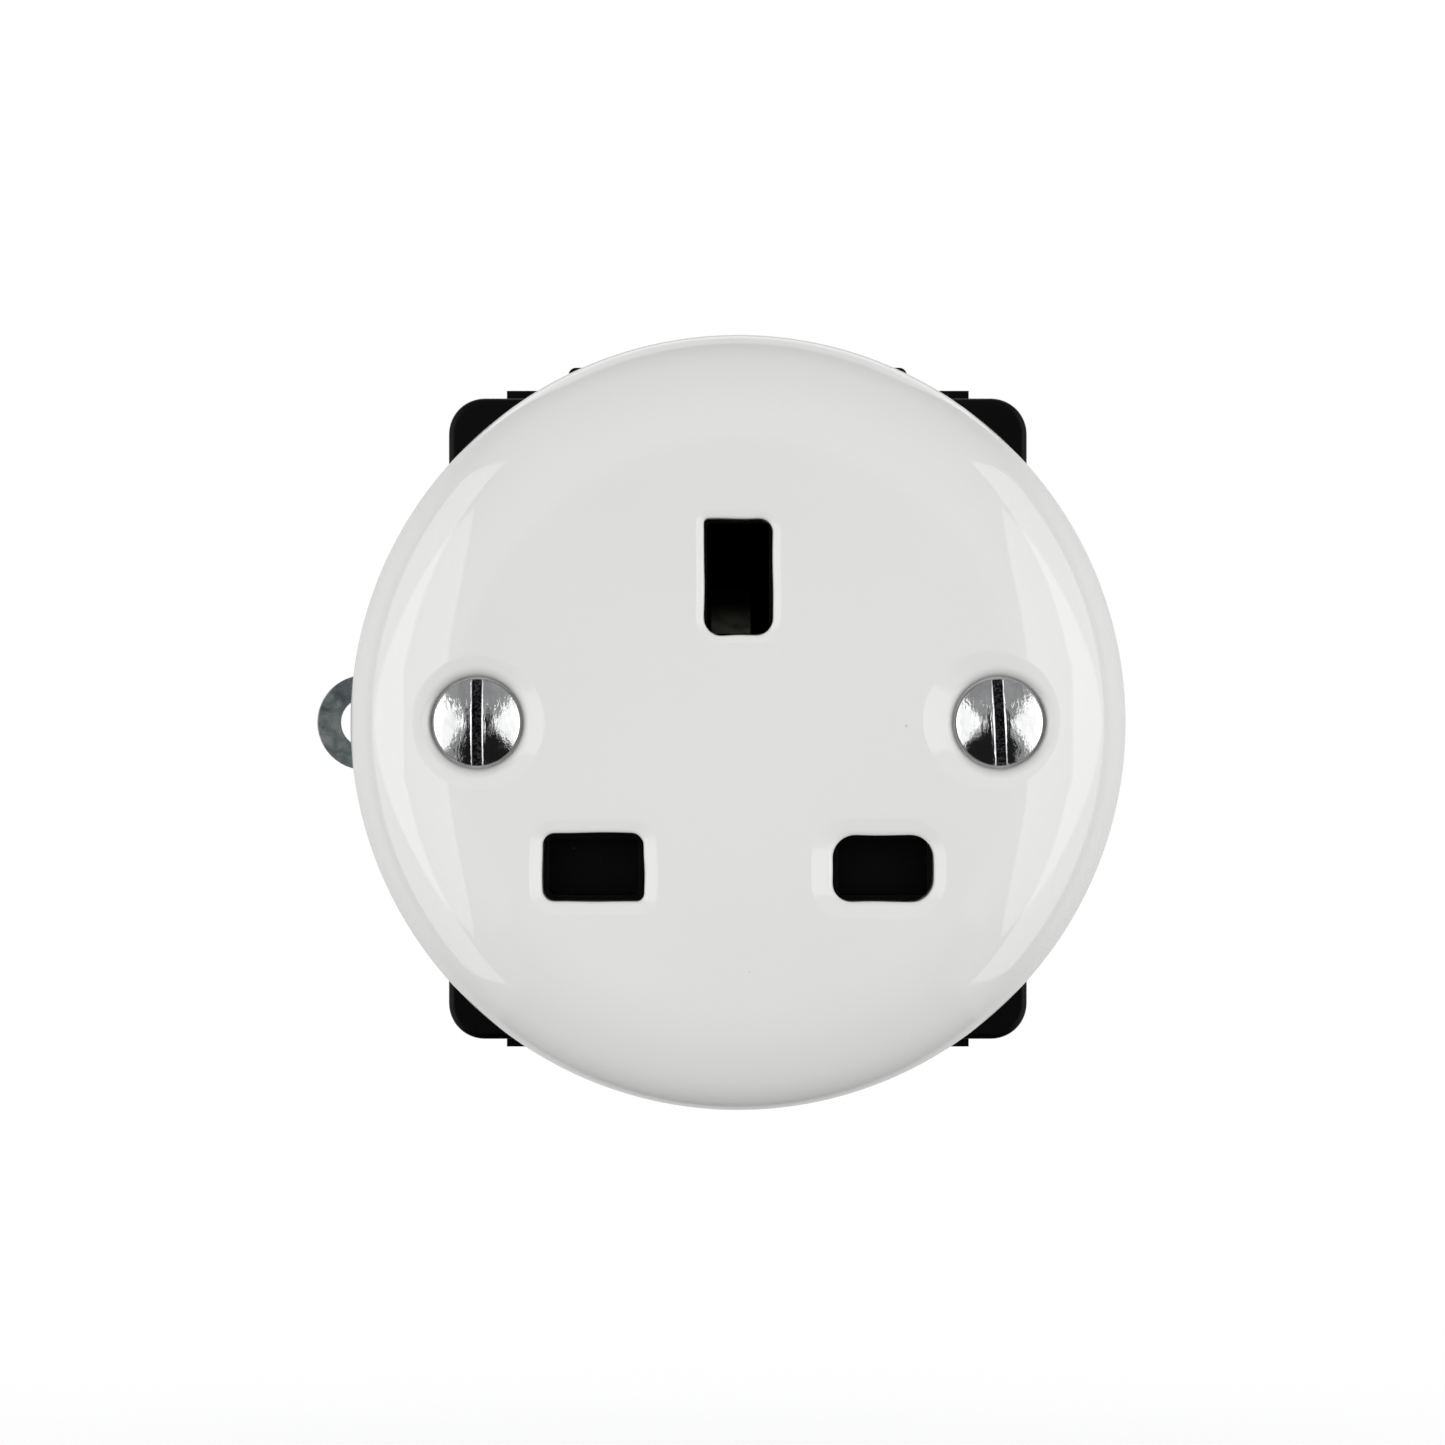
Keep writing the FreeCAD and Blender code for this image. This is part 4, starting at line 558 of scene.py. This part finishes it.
def fill(maker, rings, loose, level):
    """Fills between rings, the outer one first, through loose points between them."""
    points, corners, edges = [], [], []
    for ring in rings:
        start = len(points)
        points += [Vector((vert.co.x, vert.co.z)) for vert in ring]
        corners += ring
        edges += [(start + i, start + (i + 1) % len(ring)) for i in range(len(ring))]
    points += [Vector(point) for point in loose]
    near = 1e-7
    verts, _, faces, source, _, _ = delaunay_2d_cdt(points, edges, [], 0, near)
    holes = [[(vert.co.x, vert.co.z) for vert in ring] for ring in rings[1:]]
    outer = [(vert.co.x, vert.co.z) for vert in rings[0]]
    made = []
    for spot, origin in zip(verts, source):
        known = [corners[i] for i in origin if i < len(corners)]
        made.append(known[0] if known else ring_of(maker, [spot], level)[0])
    for face in faces:
        middle = sum((verts[i] for i in face), Vector((0.0, 0.0))) / len(face)
        if not inside(outer, middle) or any(inside(hole, middle) for hole in holes):
            continue
        if len({made[i] for i in face}) == len(face):
            maker.faces.new([made[i] for i in face])


def inside(loop, point):
    """Is a point inside a closed loop?"""
    odd = False
    last = loop[-1]
    for here in loop:
        if (here[1] > point[1]) != (last[1] > point[1]):
            cross = (last[0] - here[0]) * (point[1] - here[1]) / (last[1] - here[1]) + here[0]
            odd ^= point[0] < cross
        last = here
    return odd


FIELD_STEP = 1.4
FIELD_EDGE_STEP = 0.45
FIELD_EDGE_GAP = 0.35  # how far inside the field's outer ring its first circle of points lies
FIELD_MIDDLE = 1.0  # the field has no circle of points inside this radius
POINTS_PER_MM = 11  # points on a circle for each millimetre of its radius
FEWEST_POINTS = 24
DISH_CLEARANCE = 7.0
SLOT_CLEARANCE = (2.1, 1.8)
RIM_SIDES = 360
ROUND_STEPS = 8


def field_points():
    """Loose points over the face, clear of the slots and dishes and closer at the shoulder."""
    points = []
    reach = FIELD_RADIUS - FIELD_EDGE_GAP
    while reach > FIELD_MIDDLE:
        for across, up in circle_points(reach, max(FEWEST_POINTS, int(reach * POINTS_PER_MM))):
            near_slot = any(
                abs(across - rule["centre"][0]) < rule["width"] / 2 + SLOT_CLEARANCE[0]
                and abs(up - rule["centre"][1]) < rule["height"] / 2 + SLOT_CLEARANCE[1]
                for rule in SLOTS.values())
            if not near_slot and math.hypot(abs(across) - SCREW_REACH, up) >= DISH_CLEARANCE:
                points.append((across, up))
        reach -= FIELD_EDGE_STEP if reach > FLAT_RADIUS - 1 else FIELD_STEP
    return points


def side_rings():
    """Radius and level of the rings down the side, round the foot and into the cup."""
    foot = DISC_RADIUS - RIM_DRAFT
    turns = [math.pi / 2 * step / ROUND_STEPS for step in range(ROUND_STEPS + 1)]
    # Two rings keep the tapered side straight between the shoulder and the foot's round.
    rings = [(DISC_RADIUS - 0.1, FACE + SHOULDER_DEPTH + 0.9)]
    rings.append((foot + 0.08, RIM_BACK - RIM_ROUND - 0.5))
    rings += [polar((foot - RIM_ROUND, RIM_BACK - RIM_ROUND), RIM_ROUND, turn) for turn in turns]
    rings += [(CUP_RADIUS + CUP_CHAMFER, RIM_BACK), (CUP_RADIUS, RIM_BACK - CUP_CHAMFER)]
    rings += [polar((CUP_RADIUS - CUP_ROUND, INNER_FACE + CUP_ROUND), CUP_ROUND, -turn)
              for turn in turns]
    return rings


def porcelain_disc():
    """The glazed disc, as rings round its slots and dishes joined by a fine field."""
    maker = bmesh.new()

    def level(across, up):
        return face_level(math.hypot(across, up))

    holes = [slot_rings(maker, level, **rule) for rule in SLOTS.values()]
    seat = FACE + HEAD_SINK
    for dish in DISHES:
        holes.append(dish_rings(maker, level, *dish))
        holes[-1] += [ring_of(maker, circle_points(radius, DISH_SIDES, (dish[0], 0.0)), depth)
                      for radius, depth in (
                          (HEAD_RADIUS + HEAD_GAP, seat + SEAT_GAP),
                          (SCREW_HOLE, seat + HEAD_RADIUS + HEAD_GAP - SCREW_HOLE),
                          (SCREW_HOLE, PILLAR_END), (PILLAR_RADIUS, PILLAR_END),
                          (PILLAR_RADIUS, INNER_FACE))]
    for rings in holes:
        for first, second in zip(rings, rings[1:]):
            band(maker, first, second)
    outer = ring_of(maker, circle_points(FIELD_RADIUS, RIM_SIDES), level)
    fill(maker, [outer] + [rings[0] for rings in holes], field_points(), level)
    for radius, depth in shoulder_rings() + side_rings():
        ring = ring_of(maker, circle_points(radius, RIM_SIDES), depth)
        band(maker, outer, ring)
        outer = ring
    fill(maker, [outer] + [rings[-1] for rings in holes], [], INNER_FACE)
    piece = piece_from(maker, "porcelain_disc", PORCELAIN, 50.0)
    settle(piece, ["porcelain_cover"])


def between(steps, place):
    """The value at a place in a list of (place, value) steps."""
    for (start, low), (end, high) in zip(steps, steps[1:]):
        if place <= end:
            return low + (high - low) * (place - start) / (end - start)
    return steps[-1][1]


HEAD_COLUMNS = 60
HEAD_ROWS = 48
HEAD_HEM = 0.0004  # how far inside the head's edge its last column lies


def cover_screw(name, node, across, turn):
    """A slotted screw with a raised head, turned about its own axis."""
    maker = bmesh.new()
    head_plane = FACE + HEAD_SINK
    ball = (HEAD_RADIUS ** 2 + HEAD_DOME ** 2) / (2 * HEAD_DOME)

    def surface(side, up):
        radius = math.hypot(side, up)
        gap = abs(side) - SLOT_HALF
        if gap < 0:
            return FACE + SLOT_DEPTH
        # Each lip of each screw has a roughness of its own along the slot.
        rough = noise.noise(Vector((math.copysign(7.0, side), up * 1.6, across)))
        worn = between(LIP_STEPS, gap / (1.0 + LIP_SPREAD * rough)) * (1.0 + LIP_WEAR * rough)
        return FACE + ball - math.sqrt(ball ** 2 - radius ** 2) + worn

    inner = [0.0, 0.12, 0.24, SLOT_HALF - 0.002]
    lips = [SLOT_HALF + gap for gap, _ in LIP_STEPS]
    rest = [HEAD_RADIUS * math.sin(math.pi / 2 * i / HEAD_COLUMNS) for i in range(HEAD_COLUMNS)]
    rest = [value for value in rest if value > lips[-1] + 0.03]
    sides = inner + lips + rest + [HEAD_RADIUS - HEAD_HEM]
    sides = [-value for value in reversed(sides[1:])] + sides
    columns = []
    for side in sides:
        half = math.sqrt(HEAD_RADIUS ** 2 - side ** 2)
        column = []
        for step in range(-HEAD_ROWS, HEAD_ROWS + 1):
            up = half * math.sin(math.pi / 2 * step / HEAD_ROWS)
            column.append(maker.verts.new((side, surface(side, up), up)))
        columns.append(column)
    for first, second in zip(columns, columns[1:]):
        for step in range(2 * HEAD_ROWS):
            maker.faces.new((first[step], first[step + 1], second[step + 1], second[step]))
    border = [column[-1] for column in columns]
    border += list(reversed(columns[-1][1:-1]))
    border += [column[0] for column in reversed(columns)]
    border += columns[0][1:-1]
    cone_end, end = head_plane + HEAD_RADIUS - SHANK_RADIUS, head_plane + SCREW_LENGTH
    profile = [(HEAD_RADIUS, head_plane), (SHANK_RADIUS, cone_end)]
    depth = cone_end + THREAD_START
    while depth < end - PLAIN_TIP:
        profile += [(SHANK_RADIUS - THREAD_DEPTH, depth), (SHANK_RADIUS, depth + THREAD_PITCH / 2)]
        depth += THREAD_PITCH
    profile += [(SHANK_RADIUS, end - TIP_CHAMFER), (SHANK_RADIUS - TIP_CHAMFER, end)]
    for radius, back in profile:
        ring = []
        for vert in border:
            angle = math.atan2(vert.co.z, vert.co.x)
            ring.append(maker.verts.new((radius * math.cos(angle), back, radius * math.sin(angle))))
        band(maker, border, ring)
        border = ring
    maker.faces.new(border)
    spin = Matrix.Rotation(math.radians(turn), 4, "Y")
    bmesh.ops.transform(maker, matrix=Matrix.Translation((across, 0, 0)) @ spin, verts=maker.verts)
    piece = piece_from(maker, name, CHROME, 42.0)
    settle(piece, [node])


def copied(node, name, material, flatten):
    """A copy of a node's own shape. flatten joins the small faces that lie in one plane."""
    maker = bmesh.new()
    maker.from_mesh(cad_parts[node].data)
    bmesh.ops.remove_doubles(maker, verts=maker.verts, dist=2e-6)
    if flatten:
        bmesh.ops.dissolve_limit(
            maker, angle_limit=math.radians(0.6), verts=maker.verts, edges=maker.edges)
    mesh = bpy.data.meshes.new(name)
    maker.to_mesh(mesh)
    maker.free()
    mesh.materials.clear()
    mesh.materials.append(material)
    mesh.shade_smooth()
    return in_scene(name, mesh)


def applied(piece):
    """Gives a piece the mesh that its modifiers make, in their place."""
    graph = bpy.context.evaluated_depsgraph_get()
    done = bpy.data.meshes.new_from_object(piece.evaluated_get(graph))
    piece.modifiers.clear()
    piece.data = done
    return piece


def softened(node, name, material, width, body="mechanism"):
    """A node's own shape with its edges broken, as a mould or a press leaves them."""
    piece = copied(node, name, material, True)
    bevel = piece.modifiers.new("broken_edges", "BEVEL")
    bevel.width = width * MM
    bevel.segments = 3
    bevel.limit_method = "ANGLE"
    bevel.angle_limit = math.radians(38.0)
    bevel.use_clamp_overlap = True
    bevel.miter_outer = "MITER_ARC"
    even = piece.modifiers.new("even_faces", "WEIGHTED_NORMAL")
    even.weight = 100
    even.keep_sharp = True
    settle(applied(piece), [node], body)


def coil_spring():
    """The shutter's return spring, kept rigid here; the real one closes up along its axis as the
    shutter is pushed down.
    """
    piece = copied("shutter_spring", "coil_spring", WIRE, False)
    piece.data.set_sharp_from_angle(angle=math.radians(50.0))
    settle(piece, ["shutter_spring"])
    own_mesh(piece)


class Shaping(Tree):
    """A geometry tree with named inputs for its sizes."""

    def __init__(self, name, sizes):
        super().__init__(bpy.data.node_groups.new(name, "GeometryNodeTree"))
        self.sizes = {}
        face = self.nodes.interface
        face.new_socket("Places", in_out="INPUT", socket_type="NodeSocketGeometry")
        for size in sizes:
            socket = face.new_socket(size, in_out="INPUT", socket_type="NodeSocketFloat")
            self.sizes[size] = socket.identifier
        face.new_socket("Result", in_out="OUTPUT", socket_type="NodeSocketGeometry")
        self.given = self.node("NodeGroupInput")


HEAD_STEPS = 7
DOME_STEPS = 6
DOME_SHARE = 0.98  # how far towards the axis the head's last ring lies
TIP_SHARE = 0.3  # the tip's chamfer, as a share of the shank's radius
SCREW_SIDES = 40
PLAIN_SIZES = ("Thread turns", "Slot turn", "Facing", "Loose turn")
SCREW_SIZES = PLAIN_SIZES + (
    "Head radius", "Head height", "Cone height", "Edge round", "Dome", "Shank radius",
    "Thread depth", "Length", "Slot width", "Slot depth")


def small_screw_tree():
    """A slotted screw at each place: rings from the tip up the thread, then round the head."""
    s = Shaping("small_screw", SCREW_SIZES)
    head, high, cone = s.given["Head radius"], s.given["Head height"], s.given["Cone height"]
    edge, dome, shank = s.given["Edge round"], s.given["Dome"], s.given["Shank radius"]
    length, turns = s.given["Length"], s.given["Thread turns"]
    rings = turns * 2.0 + 1.0
    number = s.node("GeometryNodeInputIndex")["Index"]
    tip_chamfer = shank * TIP_SHARE
    thread = length - high - cone - tip_chamfer
    on_tip = number.under(0.5)
    on_thread = number.under(rings + 0.5) * (1.0 - on_tip)
    on_seat = number.under(rings + 1.5) * (1.0 - number.under(rings + 0.5))
    on_edge = number.under(rings + 1.5 + HEAD_STEPS) * (1.0 - number.under(rings + 1.5))
    on_dome = 1.0 - number.under(rings + 1.5 + HEAD_STEPS)
    step = number - 1.0
    thread_radius = shank - step.maths("MODULO", 2.0) * s.given["Thread depth"]
    thread_place = step / (turns * 2.0) * thread + tip_chamfer - length
    lean = (number - rings - 2.0) / (HEAD_STEPS - 1.0) * (math.pi / 2)
    edge_radius = head - edge + edge * lean.maths("COSINE")
    edge_place = edge * lean.maths("SINE") - edge - dome
    inward = (number - rings - 1.0 - HEAD_STEPS) / DOME_STEPS * DOME_SHARE
    dome_radius = (head - edge) * (1.0 - inward)
    dome_place = dome * (1.0 - (1.0 - inward) ** 2.0) - dome
    radius = (on_tip * (shank - tip_chamfer) + on_thread * thread_radius + on_seat * head
              + on_edge * edge_radius + on_dome * dome_radius)
    place = (on_tip * (0.0 - length) + on_thread * thread_place + on_seat * (0.0 - high)
             + on_edge * edge_place + on_dome * dome_place)
    count = rings + 2.0 + HEAD_STEPS + DOME_STEPS
    line = s.node("GeometryNodeMeshLine", {}, {"Count": count})["Mesh"]
    spot = s.node("ShaderNodeCombineXYZ", {}, {"Z": place})["Vector"]
    line = s.node("GeometryNodeSetPosition", {}, {"Geometry": line, "Position": spot})["Geometry"]
    line = s.node("GeometryNodeMeshToCurve", {}, {"Mesh": line})["Curve"]
    circle = s.node("GeometryNodeCurvePrimitiveCircle", {}, {
        "Resolution": SCREW_SIDES, "Radius": 1.0})["Curve"]
    blank = s.node("GeometryNodeCurveToMesh", {}, {
        "Curve": line, "Profile Curve": circle, "Scale": radius, "Fill Caps": True})["Mesh"]
    cutter_size = s.node("ShaderNodeCombineXYZ", {}, {
        "X": s.given["Slot width"], "Y": head * 3.0, "Z": s.given["Slot depth"] * 2.0})["Vector"]
    cutter = s.node("GeometryNodeMeshCube", {}, {"Size": cutter_size})["Mesh"]
    slotted = s.node("GeometryNodeMeshBoolean", {"operation": "DIFFERENCE", "solver": "EXACT"}, {
        "Mesh 1": blank, "Mesh 2": cutter})["Mesh"]
    slot_turn = s.node("ShaderNodeCombineXYZ", {}, {"Z": s.given["Slot turn"]})["Vector"]
    slotted = s.node("GeometryNodeTransform", {}, {
        "Geometry": slotted, "Rotation": slot_turn})["Geometry"]
    loose = s.node("FunctionNodeRandomValue", {"data_type": "FLOAT"}, {
        2: s.given["Loose turn"] * -1.0, 3: s.given["Loose turn"], "Seed": 4})["Value"]
    lie = s.node("ShaderNodeCombineXYZ", {}, {"X": s.given["Facing"], "Y": loose})["Vector"]
    points = s.node("GeometryNodeMeshToPoints", {}, {"Mesh": s.given["Places"]})["Points"]
    screws = s.node("GeometryNodeInstanceOnPoints", {}, {
        "Points": points, "Instance": slotted, "Rotation": lie})["Instances"]
    screws = s.node("GeometryNodeRealizeInstances", {}, {"Geometry": screws})["Geometry"]
    plated = s.node("GeometryNodeSetMaterial", {}, {"Geometry": screws, "Material": PLATE})
    s.node("NodeGroupOutput", {}, {"Result": plated["Geometry"]})
    return s


def small_screws(name, tree, places, nodes, sizes):
    """Screws of one size, as one piece. places and sizes are in millimetres."""
    mesh = bpy.data.meshes.new(name)
    mesh.from_pydata([Vector(place) * MM for place in places], [], [])
    piece = in_scene(name, mesh)
    maker = piece.modifiers.new("screws", "NODES")
    maker.node_group = tree.nodes
    for size, number in sizes.items():
        maker[tree.sizes[size]] = float(number) * (1.0 if size in PLAIN_SIZES else MM)
    applied(piece)
    piece.data.shade_smooth()
    piece.data.set_sharp_from_angle(angle=math.radians(40.0))
    settle(piece, nodes)


TO_BACK, TO_FRONT = -math.pi / 2, math.pi / 2


def all_small_screws():
    """The screws of the housing, the back plate, the terminals and the strap."""
    tree = small_screw_tree()
    corners = [(-19.6, 8.0, -20.0), (19.6, 8.0, -20.0), (-19.6, 8.0, 20.6), (19.6, 8.0, 20.6)]
    small_screws("housing_screws", tree, corners, [
        "housing_screw_bottom_left", "housing_screw_bottom_right", "housing_screw_top_left",
        "housing_screw_top_right"], {
            "Head radius": 2.0, "Head height": 1.5, "Cone height": 0.0, "Edge round": 0.7,
            "Dome": 0.16, "Shank radius": 1.2, "Thread depth": 0.2, "Thread turns": 9,
            "Length": 6.8, "Slot width": 0.6, "Slot depth": 0.6, "Slot turn": 0.0,
            "Facing": TO_BACK, "Loose turn": 0.1})
    countersunk = {
        "Head radius": 2.2, "Head height": 0.06, "Cone height": 0.94, "Edge round": 0.05,
        "Dome": 0.0, "Shank radius": 1.2, "Thread depth": 0.2, "Slot width": 0.6,
        "Slot depth": 0.6, "Slot turn": 0.0, "Loose turn": 0.1}
    plate_holes = [(-12.4, 24.0, 12.0), (12.4, 24.0, 12.0), (0.0, 24.0, -16.6)]
    small_screws("back_plate_screws", tree, plate_holes, [
        "back_plate_screw_left", "back_plate_screw_right", "back_plate_screw_bottom",
        ], {
            **countersunk, "Length": 6.0, "Thread turns": 8, "Facing": TO_BACK})
    small_screws("strap_screws", tree, [(-19.6, -1.2, 12.5), (19.6, -1.2, -12.5)], [
        "strap_screw_left", "strap_screw_right"], {
            **countersunk, "Length": 5.4, "Thread turns": 7, "Facing": TO_FRONT})
    heads = [(-11.1, 23.5, -16.6), (11.1, 23.5, -16.6), (-4.8, 23.5, 21.6), (4.8, 23.5, 21.6)]
    small_screws("terminal_screws", tree, heads, [
        "neutral_terminal_screw", "live_terminal_screw", "earth_terminal_screw_left",
        "earth_terminal_screw_right"], {
            "Head radius": 2.6, "Head height": 1.5, "Cone height": 0.0, "Edge round": 0.25,
            "Dome": 0.1, "Shank radius": 1.7, "Thread depth": 0.25, "Thread turns": 4,
            "Length": 4.1, "Slot width": 0.8, "Slot depth": 0.8, "Slot turn": math.pi / 2,
            "Facing": TO_BACK, "Loose turn": 0.15})


# Camera, floor and light.

WHITE = (1.0, 1.0, 1.0, 1.0)
BACKDROP_SHARE = 0.6  # how much of the backdrop's white a mirror shows


def camera():
    """The photograph's view: straight on, from a little left of the disc's middle."""
    data = bpy.data.cameras.new("camera")
    data.sensor_width = 36.0
    data.lens = 156.5
    data.clip_start = 0.01
    item = in_scene("camera", data)
    item.location = (-0.0012, -0.491, 0.0)
    item.rotation_euler = (math.radians(90), 0, 0)
    bpy.context.scene.camera = item


def lamp(name, spot, width, height, glow, tilt=0.0, mirrored=True):
    """A soft rectangular lamp that looks at the socket. glow is how bright its face is."""
    data = bpy.data.lights.new(name, "AREA")
    data.shape = "RECTANGLE"
    data.size = width
    data.size_y = height
    data.energy = glow * math.pi * width * height
    item = in_scene(name, data)
    aim = (-Vector(spot)).to_track_quat("-Z", "Y").to_matrix().to_4x4()
    item.matrix_world = Matrix.Translation(spot) @ aim @ Matrix.Rotation(math.radians(tilt), 4, "Z")
    item.visible_camera = False
    item.visible_glossy = mirrored


def beside(angle, distance, side):
    """A place level with the socket, at an angle from the view's line."""
    turn = math.radians(angle)
    return (side * distance * math.sin(turn), -distance * math.cos(turn), 0.0)


def lights():
    """A strip, a square on its corner and a fill at each side, with fills above, before and behind."""
    for name, side, strip_glow in (("left", -1.0, 0.97), ("right", 1.0, 1.0)):
        lamp(name + "_strip", beside(66.5, 0.62, side), width=0.34, height=1.14, glow=strip_glow)
        lamp(name + "_square", beside(47.0, 0.85, side), width=0.72, height=0.72, glow=0.9, tilt=45.0)
        lamp(name + "_fill", beside(122.0, 0.62, side), width=0.36, height=1.14, glow=0.95,
             mirrored=False)
    lamp("high_fill", (0.0, -0.5, 0.75), width=1.2, height=0.5, glow=0.3, mirrored=False)
    lamp("front_fill", (0.0, -0.9, 0.08), width=0.9, height=0.4, glow=2.15, mirrored=False)
    lamp("back_fill", (0.0, 0.9, 0.9), width=1.2, height=0.8, glow=0.8)


def sheet(name, corners, material):
    """A flat sheet with one finish, which neither darkens nor lights what stands near it."""
    mesh = bpy.data.meshes.new(name)
    mesh.from_pydata(corners, [], [tuple(range(len(corners)))])
    mesh.materials.append(material)
    item = in_scene(name, mesh)
    item.visible_shadow = False
    item.visible_diffuse = False
    return item


def black_card(name, corners, fade=None):
    """A matt black card that only mirrors show. fade: how far from its middle it turns clear."""
    f = Finish(name, {"Roughness": 1.0, "Specular IOR Level": 0.0})
    f.set("Base Color", (0.016, 0.016, 0.017, 1.0))
    if fade is not None:
        across, _, up = f.coordinates()
        f.set("Alpha", 1.0 - ((across * across + up * up) ** 0.5).ramp(*fade))
    sheet(name, corners, f.material).visible_camera = False


FLOOR_LEVEL = -0.0605


def cards():
    """A card behind the camera, and one that lies under the floor before the socket."""
    wide, back = 0.19, -0.51
    corners = [(-wide, back, -wide), (-wide, back, wide), (wide, back, wide), (wide, back, -wide)]
    black_card("camera_card", corners, fade=(0.055, 0.18))
    level = FLOOR_LEVEL - 0.002
    side = [(0.072, -0.6), (0.072, -0.1), (0.052, -0.07), (0.05, 0.03)]
    outline = side + [(-across, along) for across, along in reversed(side)]
    black_card("floor_card", [(across, along, level) for across, along in outline])


def floor():
    """A pale floor that takes the socket's shadow, fades to white and is clear from below."""
    f = Finish("pale_floor", {
        "Roughness": 0.9, "Specular IOR Level": 0.0, "Base Color": (0.93, 0.93, 0.93, 1.0),
        "Emission Color": WHITE, "Emission Strength": 0.38})
    camera_sees = f.node("ShaderNodeLightPath")["Is Camera Ray"]
    white = f.node("ShaderNodeEmission", {}, {"Color": WHITE, "Strength": camera_sees})
    across, along, _ = f.coordinates()
    away = (across * across + along * along) ** 0.5
    lit = Value(f, f.shader.outputs["BSDF"])
    mixed = f.node("ShaderNodeMixShader", {}, {
        0: away.ramp(0.03, 0.16) * 0.9 + 0.1, 1: lit, 2: white["Emission"]})
    clear = f.node("ShaderNodeBsdfTransparent")["BSDF"]
    under = f.node("ShaderNodeNewGeometry")["Backfacing"]
    seen = f.node("ShaderNodeMixShader", {}, {0: under, 1: mixed["Shader"], 2: clear})["Shader"]
    f.feed(f.output.inputs["Surface"], seen)
    wide = 1.6
    corners = [(-wide, -wide), (wide, -wide), (wide, wide), (-wide, wide)]
    placed = [(across, along, FLOOR_LEVEL) for across, along in corners]
    sheet("floor", placed, f.material).visible_glossy = False


def surroundings():
    """A grey room that the camera sees as white, with a softer white backdrop for mirrors."""
    world = bpy.data.worlds.new("studio")
    bpy.context.scene.world = world
    world.use_nodes = True
    world.node_tree.nodes.clear()
    w = Tree(world.node_tree)
    rays = w.node("ShaderNodeLightPath")
    toward = w.node("ShaderNodeTexCoord")["Generated"]
    parts = w.node("ShaderNodeSeparateXYZ", {}, {"Vector": toward})
    backdrop = parts["Y"].ramp(0.0, 0.25) * (1.0 - parts["Z"].maths("ABSOLUTE").ramp(0.45, 0.75))
    bounced = rays["Is Glossy Ray"].maths("MAXIMUM", rays["Is Transmission Ray"])
    whiteness = rays["Is Camera Ray"].maths("MAXIMUM", bounced * backdrop * BACKDROP_SHARE)
    white = w.node("ShaderNodeBackground", {}, {"Color": WHITE, "Strength": 1.0})
    room = w.node("ShaderNodeBackground", {}, {"Color": (0.98, 0.99, 1.0, 1.0), "Strength": 0.305})
    seen = w.node("ShaderNodeMixShader", {}, {
        0: whiteness, 1: room["Background"], 2: white["Background"]})
    w.node("ShaderNodeOutputWorld", {}, {"Surface": seen["Shader"]})


camera()
surroundings()
lights()
cards()
floor()
porcelain_disc()
cover_screw("cover_screw_one", "cover_screw_left", -SCREW_REACH, 0.0)
cover_screw("cover_screw_two", "cover_screw_right", SCREW_REACH, -3.0)
softened("front_moulding", "front_body", BLACK, 0.18)
softened("rear_housing", "rear_body", BLACK, 0.22)
softened("back_plate", "rear_plate", BLACK, 0.15)
softened("mounting_strap", "steel_strap", ZINC, 0.16)
softened("shutter", "sliding_shutter", INNER, 0.1, "shutter")
softened("shutter_guide", "slide_guide", INNER, 0.1)
for side in ("left", "right"):
    softened("strap_nut_" + side, "sleeve_nut_" + side, BRASS, 0.14)
for wire in ("live", "neutral", "earth"):
    softened(wire + "_terminal", wire + "_pillar", BRASS, 0.12)
coil_spring()
all_small_screws()

# The contacts sit deep inside the slots; their near-black brass is painted shade.
for wire in ("live", "neutral", "earth"):
    for contact_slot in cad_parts[wire + "_contact"].material_slots:
        contact_slot.material = SHADED_BRASS

bpy.context.scene.view_settings.view_transform = "Standard"
